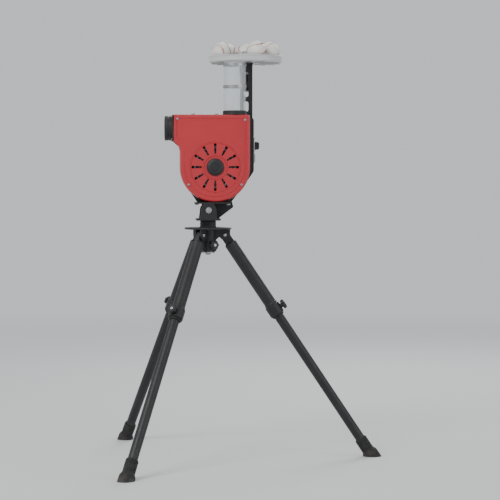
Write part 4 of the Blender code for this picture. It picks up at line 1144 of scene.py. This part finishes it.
# ---- controls ----
def make_controls():
    lo, hi = ends("control_box")
    case = block("control_case", lo, hi, 0.006, 5)
    wall = 0.003
    carve(case, block("cavity", lo + Vector((wall, wall, wall)), hi + Vector((0.02, -wall, -wall)), 0.003))
    settle(case, "head", "plastic", HERE, ["control_box"])
    ribs = [block("rib", (lo.x + 0.012 + 0.009 * k, hi.y - 0.0002, lo.z + 0.014),
                  (lo.x + 0.0155 + 0.009 * k, hi.y + 0.0012, hi.z - 0.014), 0.0008, 2) for k in range(8)]
    settle(joined("case_ribs", ribs), "head", "plastic", HERE)
    lo, hi = ends("control_panel")
    knob = middle("speed_knob")
    switch = middle("switch_bezel")
    inlet = middle("power_inlet")
    face = facing_back(lo.x)

    def opening(centre, wide, tall):
        return rectangle(centre.y - wide, centre.z - tall, centre.y + wide, centre.z + tall, 0.001)

    border = rectangle(lo.y, lo.z, hi.y, hi.z, 0.005, 6)
    panel = prism("panel_plate", [border, ring((knob.y, knob.z), 0.0043), opening(switch, 0.0079, 0.0109),
                                  opening(inlet, 0.0134, 0.0099)], 0.0, hi.x - lo.x, 0.0006, 2)
    settle(panel, "head", "brushed", face, ["control_panel"])
    marks = []
    for k in range(11):
        a = radians(240 - 30 * k)
        wide = 0.0006 + 0.00006 * k
        mark = block("mark", (0.0, -wide, 0.0), (0.0038, wide, 0.0003), 0.0001, 1)
        marks.append(moved(mark, at(knob.y, knob.z, hi.x - lo.x) @ spin(a) @ at(0.0205, 0, 0)))
    settle(joined("dial_marks", marks), "head", "plastic", face)
    for i, (y, z) in enumerate(corners(lo.y, lo.z, hi.y, hi.z, 0.005), 1):
        socket_screw(f"panel_screw_{i}", 0.0026, 0.0016, along((hi.x + 0.0001, y, z), (1, 0, 0)), "head")
    spot = along((hi.x + 0.0001, lo.y + 0.012, hi.z - 0.02), (1, 0, 0))
    lamp = turned("pilot_lamp", [(0, 0.0032), (0.0016, 0.003), (0.0026, 0.0018), (0.0028, 0), (0, 0)], 32)
    settle(lamp, "head", "lamp", spot)
    profile = [(0.0029, 0.0012), (0.004, 0.001), (0.0043, 0), (0.0029, 0)]
    settle(turned("lamp_bezel", profile, 32, closed=True, edge=0.0002), "head", "zinc", spot)

    dial = along((hi.x, knob.y, knob.z), (1, 0, 0))

    def flutes(angle, r):
        share = max(0.0, min(1.0, (r - 0.0125) / 0.0015)) * (1.0 if r < 0.0165 else 0.0)
        return r * (1.0 - 0.045 * share * (0.5 - 0.5 * cos(20 * angle)))

    cap = turned("dial_cap", [
        (0, 0.0186), (0.0105, 0.0186), (0.0115, 0.0192), (0.0128, 0.0188), (0.0142, 0.017), (0.0152, 0.006),
        (0.018, 0.0036), (0.0185, 0.0028), (0.0185, 0.0004), (0, 0.0004)], 160, lobes=flutes, edge=0.0004)
    settle(cap, "speed_dial", "plastic", dial, ["speed_knob"])
    pointer = block("dial_pointer", (-0.0007, 0.0045, 0.0184), (0.0007, 0.0125, 0.0196), 0.0002, 1)
    settle(pointer, "speed_dial", "white", dial @ spin(radians(150)))

    lo, hi = ends("switch_bezel")
    frame_out = opening(switch, (hi.y - lo.y) / 2, (hi.z - lo.z) / 2)
    rim = prism("switch_frame", [frame_out, opening(switch, 0.0062, 0.009)], 0.0, 0.0022, 0.0006, 2)
    panel_x = high("control_panel").x
    settle(rim, "head", "plastic", facing_back(panel_x + GAP), ["switch_bezel"])
    pivot = joint_at("switch_rock")
    outline = soften(arc((0, 0), 0.0086, 75.0, 300.0, 40) + [(0.0022, 0.0)], 0.0007)
    rocker = prism("rocker", [outline], -0.0059, 0.0059, 0.0006, 2)
    settle(rocker, "switch", "rubber", Matrix.Translation(pivot) @ UPRIGHT, ["switch_rocker"])
    outlines = [opening(inlet, 0.0165, 0.013), opening(inlet, 0.0112, 0.0077)]
    shroud = prism("inlet_shroud", outlines, 0.0, 0.0022, 0.0006, 2)
    settle(shroud, "head", "plastic", facing_back(panel_x + GAP), ["power_inlet"])
    well = block("inlet_well", (panel_x - 0.024, inlet.y - 0.0132, inlet.z - 0.0097),
                 (panel_x + 0.0004, inlet.y + 0.0132, inlet.z + 0.0097), 0.0006)
    carve(well, block("well", (panel_x - 0.021, inlet.y - 0.0112, inlet.z - 0.0077),
                      (panel_x + 0.01, inlet.y + 0.0112, inlet.z + 0.0077), 0.0006))
    settle(well, "head", "plastic", HERE)
    blades = [block("blade", (panel_x - 0.0215, inlet.y + dy - 0.001, inlet.z + dz - 0.002),
                    (panel_x - 0.005, inlet.y + dy + 0.001, inlet.z + dz + 0.002), 0.0004, 2)
              for dy, dz in ((-0.006, -0.0025), (0.0, 0.0025), (0.006, -0.0025))]
    settle(joined("inlet_blades", blades), "head", "zinc", HERE)


# ---- feeder ----
def make_drop_tube():
    where = at(DROP.x, DROP.y, 0)
    lo, hi = low("drop_tube").z, high("drop_tube").z
    profile = [(0.0425, hi), (0.0425, lo + 0.006), (BORE_R, lo + 0.006), (BORE_R, hi)]
    tube = turned("clear_tube", profile, 96, closed=True, edge=0.0004)
    settle(tube, "head", "clear", where, ["drop_tube"])
    flange = turned("tube_flange", [
        (BORE_R, lo + 0.0155), (0.0437, lo + 0.0155), (0.0445, lo + 0.014), (0.0445, lo + 0.004),
        (0.0452, lo + 0.003), (0.0452, lo), (BORE_R, lo)], 96, closed=True, edge=0.0008)
    profile = [(0.0426, lo + 0.02), (0.0426, lo + 0.006), (0.03, lo + 0.006), (0.03, lo + 0.02)]
    flange_cut = turned("cut", profile, 96, closed=True, edge=0)
    settle(carve(flange, flange_cut), "head", "plastic", where)
    for k, z in enumerate((hi - 0.012, lo + 0.105)):
        band = turned(f"tube_band_{k + 1}", [(0.0426, z + 0.005), (0.044, z + 0.005), (0.044, z - 0.005),
                                             (0.0426, z - 0.005)], 96, closed=True, edge=0.0006)
        settle(band, "head", "zinc", where)
    z = lo + 0.105
    tie = block("tube_stay", (DROP.x + 0.03, 0.0318, z - 0.006), (DROP.x + 0.046, 0.053, z + 0.006), 0.0012)
    settle(tie, "head", "coat", HERE)


def make_mast():
    lo, hi = ends("feeder_mast")
    mid = (lo.x + hi.x) / 2
    half = (hi.x - lo.x) / 2 - 0.003
    outline = [(mid - half, lo.z, 0.004), (mid + half, lo.z, 0.004), (mid + half, hi.z - 0.003, 0.001),
               (mid - half, hi.z - 0.003, 0.001)]
    slots = []
    for k in range(3):
        z = lo.z + 0.085 + 0.055 * k
        slots.append(rectangle(mid - 0.009, z, mid + 0.009, z + 0.038, 0.0088, 8))
    mast = prism("mast", [soften(outline, 0.004)] + slots, -0.0573, -0.0523, 0.0009, 3)
    settle(mast, "head", "coat", UPRIGHT, ["feeder_mast"])
    shelf = [(lo.x, 0.0529, 0.002), (hi.x, 0.0529, 0.002), (hi.x, hi.y, 0.01), (lo.x, hi.y, 0.01)]
    outlines = [soften(shelf, 0.004, steps=6), ring((STAR.x, STAR.y), 0.008)]
    top = prism("mast_shelf", outlines, hi.z - 0.0048, hi.z, 0.0008, 2)
    settle(top, "head", "coat", HERE)
    gusset = [(0.0575, hi.z - 0.0048, 0), (0.0575, hi.z - 0.034, 0.001), (0.06, hi.z - 0.034, 0.001),
              (0.088, hi.z - 0.0048, 0)]
    for k, x in enumerate((lo.x + 0.003, hi.x - 0.0062)):
        side = prism(f"mast_gusset_{k + 1}", [soften(gusset, 0.001)], 0.0, 0.003, 0.0005, 2)
        settle(side, "head", "coat", facing_back(x))
    for k, z in enumerate((lo.z + 0.014, lo.z + 0.046)):
        for j, x in enumerate((mid - 0.013, mid + 0.013)):
            hex_bolt(f"mast_bolt_{k + 1}_{j + 1}", 0.0058, 0.0046, along((x, 0.0575, z), (0, 1, 0)), "head")


def make_feeder_drive():
    lo, hi = ends("feeder_gearbox")
    case = block("gear_case", lo, hi, 0.004, 4)
    settle(case, "head", "cast", HERE, ["feeder_gearbox"])
    middle_z = (lo.z + hi.z) / 2
    lip = block("gear_case_seam", (lo.x - 0.0012, lo.y + 0.0002, middle_z - 0.0025),
                (hi.x + 0.0012, hi.y + 0.0012, middle_z + 0.0025), 0.001)
    settle(lip, "head", "cast", HERE)
    for i, (x, y) in enumerate(corners(lo.x, lo.y, hi.x, hi.y, 0.006), 1):
        socket_screw(f"gear_screw_{i}", 0.003, 0.0026, along((x, y, lo.z - 0.0001), (0, 0, -1)), "head")
    top = high("feeder_motor").z
    foot = low("feeder_motor").z
    motor = turned("star_motor", [
        (0, top), (0.0175, top), (0.0175, top - 0.004), (0.017, top - 0.0046), (0.017, foot + 0.013),
        (0.0175, foot + 0.0124), (0.0175, foot + 0.008), (0.0155, foot + 0.0045), (0.0065, foot + 0.004),
        (0.0055, foot), (0, foot)], 72, edge=0.0006)
    settle(motor, "head", "motor", at(STAR.x, STAR.y, 0), ["feeder_motor"])
    for k in range(2):
        a = pi * k + 0.5
        x, y = STAR.x + 0.0105 * cos(a), STAR.y + 0.0105 * sin(a)
        far = (x + 0.0024, y + 0.0004, foot + 0.006)
        tab = block(f"motor_tab_{k + 1}", (x - 0.0024, y - 0.0004, foot - 0.002), far, 0.0003, 1)
        settle(tab, "head", "brushed", HERE)


def make_tray():
    where = at(STAR.x, STAR.y, 0)
    under = low("feeder_tray").z
    rim_z = high("feeder_tray").z
    floor = under + 0.003
    tray = turned("tray", [
        (0.134, rim_z - 0.001), (0.135, rim_z), (0.1375, rim_z), (0.1385, rim_z - 0.001),
        (0.1385, rim_z - 0.0035), (0.137, rim_z - 0.0045), (0.137, under + 0.004), (0.1335, under),
        (0.008, under), (0.008, floor), (0.131, floor), (0.134, floor + 0.003)],
        144, closed=True, edge=0.0006)
    hole = moved(prism("hole", [ring((0, 0), BORE_R, 72)], 1.46, 1.5, 0),
                 at(DROP.x - STAR.x, DROP.y - STAR.y, 0))
    settle(carve(tray, hole), "head", "grey", where, ["feeder_tray"])
    ribs = []
    away = atan2(DROP.y - STAR.y, DROP.x - STAR.x)
    for k in range(16):
        a = 2 * pi * k / 16 + 0.12
        gap = abs((a - away + pi) % (2 * pi) - pi)
        if gap > 0.52:
            far = (0.131, 0.0012, under + 0.0006)
            ribs.append(moved(block("rib", (0.062, -0.0012, under - 0.0042), far, 0.0007, 2), spin(a)))
    settle(joined("tray_ribs", ribs), "head", "grey", where)
    for k in range(4):
        a = pi * k / 2 + 0.9
        spot = at(STAR.x + 0.017 * cos(a), STAR.y + 0.017 * sin(a), floor + 0.0001)
        socket_screw(f"tray_screw_{k + 1}", 0.0028, 0.0014, spot, "head")


def make_star():
    where = at(STAR.x, STAR.y, 0)
    base = 1.4915
    top = 1.512
    star = turned("star", [
        (0.02, 1.518), (0.0245, 1.5172), (0.027, top + 0.0006), (0.03, top), (0.119, top), (0.119, base),
        (0.015, base), (0.013, 1.4882), (0.0053, 1.4882), (0.0053, 1.518)], 144, closed=True, edge=0.001)
    start = atan2(DROP.y - STAR.y, DROP.x - STAR.x)
    radius = hypot(DROP.x - STAR.x, DROP.y - STAR.y)
    cuts = []
    for k in range(7):
        a = start + 2 * pi * k / 7
        pocket = turned("pocket", [
            (0, 1.54), (0.04, 1.54), (0.04, top + 0.0006), (0.0386, top - 0.001), (0.03855, base + 0.001),
            (0.0398, base - 0.0006), (0.0398, 1.47), (0, 1.47)], 72, edge=0)
        cuts.append(moved(pocket, at(radius * cos(a), radius * sin(a), 0)))
        b = a + pi / 7
        light = [(0.048, -0.0012), (0.062, -0.005), (0.062, 0.005), (0.048, 0.0012)]
        cuts.append(moved(prism("light", [soften(light, 0.001)], top - 0.01, top + 0.01, 0),
                          spin(b) @ at(-0.012, 0, 0)))
    settle(carve(star, joined("cuts", cuts)), "star", "grey", where, ["star_wheel"])
    cap = turned("star_knob", [(0, 1.529), (0.007, 1.5288), (0.012, 1.5268), (0.014, 1.524), (0.014, 1.5183),
                               (0.0052, 1.5183), (0.0052, 1.456), (0, 1.456)], 72, edge=0.0008)
    carve(cap, prism("socket", [hexagon(0.004)], 1.5262, 1.54, 0))
    settle(cap, "star", "zinc", where, ["star_shaft"])


def seam_point(t):
    """A point of a baseball's seam on the unit sphere, for t from 0 to 4 pi."""
    lift = 0.44
    polar = pi / 2 - (pi / 2 - lift) * cos(t)
    turn = t / 2 + lift * sin(2 * t)
    return Vector((sin(polar) * cos(turn), sin(polar) * sin(turn), cos(polar)))


STITCH = ((0.0002, -0.0004), (0.0014, 0.00035), (0.0028, 0.0004), (0.004, -0.0004))  # out from the seam, lift
STITCHES = 108


def make_ball_meshes(radius):
    """The leather, the seam and its 108 pairs of stitches, shared by every ball."""
    bm = bmesh.new()
    bmesh.ops.create_icosphere(bm, subdivisions=5, radius=radius)
    seam = [seam_point(4 * pi * k / 400) for k in range(400)]
    tree = KDTree(len(seam))
    for k, p in enumerate(seam):
        tree.insert(p, k)
    tree.balance()
    for v in bm.verts:
        gap = tree.find(v.co.normalized())[2] * radius
        v.co *= 1.0 - 0.0007 / radius * exp(-(gap / 0.0012) ** 2) + 0.00035 / radius * exp(
            -((gap - 0.0035) / 0.002) ** 2)
    leather = bpy.data.meshes.new("ball_leather")
    bm.to_mesh(leather)
    bm.free()
    shade(leather, 80)
    stitches = bpy.data.curves.new("ball_stitches", "CURVE")
    stitches.dimensions = "3D"
    stitches.bevel_depth = 0.00052
    stitches.bevel_resolution = 1
    stitches.use_fill_caps = True
    for k in range(STITCHES):
        t = 4 * pi * (k + 0.5) / STITCHES
        here = seam_point(t)
        ahead = (seam_point(t + 0.01) - here).normalized()
        side = here.cross(ahead).normalized()
        for way in (-1, 1):
            spline = stitches.splines.new("POLY")
            spline.points.add(len(STITCH) - 1)
            for point, (s, lift) in zip(spline.points, STITCH):
                place = here * radius + side * way * s + ahead * (s * 0.55)
                point.co = (*(place.normalized() * (radius + lift)), 1.0)
    return leather, stitches


def make_balls():
    radius = (high("baseball_1").z - low("baseball_1").z) / 2
    leather, stitches = make_ball_meshes(radius)
    turns = ((0.4, 1.1, 0.2), (1.3, 0.2, 2.0), (2.6, 0.7, 4.1),
             (0.9, 2.4, 1.0), (3.3, 1.9, 5.2), (1.8, 2.9, 0.6))
    for i, turn in enumerate(turns, 1):
        spot = Matrix.Translation(middle(f"baseball_{i}")) @ Euler(turn).to_matrix().to_4x4()
        settle(bpy.data.objects.new(f"ball_{i}", leather.copy()), "star", "leather", spot, [f"baseball_{i}"])
        settle(bpy.data.objects.new(f"ball_{i}_stitching", stitches.copy()), "star", "thread", spot)


# ---- stage ----
SKY = (0.9, 0.93, 0.97)
SKY_STRENGTH = 0.75
FADE_START = 2.0  # metres from the origin
FADE_END = 8.0
LENS = 135.0  # mm
SENSOR = 36.0  # mm
VIEW_TURN = -4.0  # degrees round from the machine's left side
VIEW_LIFT = 2.0
ROOM = 1.2  # the picture's height over the machine's


def studio_floor():
    """A pale floor that fades into the light of the background far from the object."""
    p = Paint("studio_floor", (0.62, 0.62, 0.61), 0.85)
    p.bump(p.noise(3.0), 0.001, 0.1)
    mat = p.done()
    far = p.node("ShaderNodeVectorMath", operation="LENGTH")
    p.links.new(p.where, far.inputs[0])
    glow = p.node("ShaderNodeEmission")
    glow.inputs["Color"].default_value = (*SKY, 1.0)
    glow.inputs["Strength"].default_value = SKY_STRENGTH
    blend = p.node("ShaderNodeMixShader")
    p.links.new(p.ramp(far.outputs["Value"], FADE_START, FADE_END), blend.inputs["Fac"])
    p.links.new(p.shader.outputs[0], blend.inputs[1])
    p.links.new(glow.outputs[0], blend.inputs[2])
    p.links.new(blend.outputs[0], p.nodes["Material Output"].inputs["Surface"])
    return mat


def make_stage():
    bm = bmesh.new()
    bmesh.ops.create_grid(bm, x_segments=1, y_segments=1, size=120.0)
    mesh = bpy.data.meshes.new("floor")
    bm.to_mesh(mesh)
    bm.free()
    floor = bpy.data.objects.new("floor", mesh)
    mesh.materials.append(studio_floor())
    bpy.context.scene.collection.objects.link(floor)
    world = bpy.data.worlds.new("studio")
    bpy.context.scene.world = world
    world.use_nodes = True
    world.node_tree.nodes["Background"].inputs["Color"].default_value = (*SKY, 1.0)
    world.node_tree.nodes["Background"].inputs["Strength"].default_value = SKY_STRENGTH
    centre = Vector(((CAD_BOX[0][0] + CAD_BOX[1][0]) / 2, 0, (CAD_BOX[0][2] + CAD_BOX[1][2]) / 2))
    for name, spot, size, power in (("key", (-3.0, -3.6, 4.2), 2.2, 190), ("fill", (4.2, -3.2, 2.0), 3.0, 55),
                                    ("rim", (1.5, 4.2, 3.6), 2.5, 130)):
        light = bpy.data.lights.new(name, "AREA")
        light.size = size
        light.energy = power
        lamp = bpy.data.objects.new(name, light)
        lamp.location = spot
        lamp.rotation_euler = (centre - Vector(spot)).to_track_quat("-Z", "Y").to_euler()
        bpy.context.scene.collection.objects.link(lamp)
    camera = bpy.data.cameras.new("camera")
    camera.lens = LENS
    eye = bpy.data.objects.new("camera", camera)
    bpy.context.scene.collection.objects.link(eye)
    bpy.context.scene.camera = eye
    turn = radians(VIEW_TURN)
    lift = radians(VIEW_LIFT)
    way = Vector((sin(turn) * cos(lift), -cos(turn) * cos(lift), sin(lift)))
    tall = CAD_BOX[1][2] - CAD_BOX[0][2]
    eye.location = centre + way * tall * LENS / SENSOR * ROOM
    eye.rotation_euler = (-way).to_track_quat("-Z", "Y").to_euler()


make_hub()
for leg in (1, 2, 3):
    make_leg(leg)
make_yoke()
make_main_frame()
make_housing()
make_muzzle()
make_ball_way()
make_wheel()
make_motor()
make_controls()
make_drop_tube()
make_mast()
make_feeder_drive()
make_tray()
make_star()
make_balls()
make_stage()
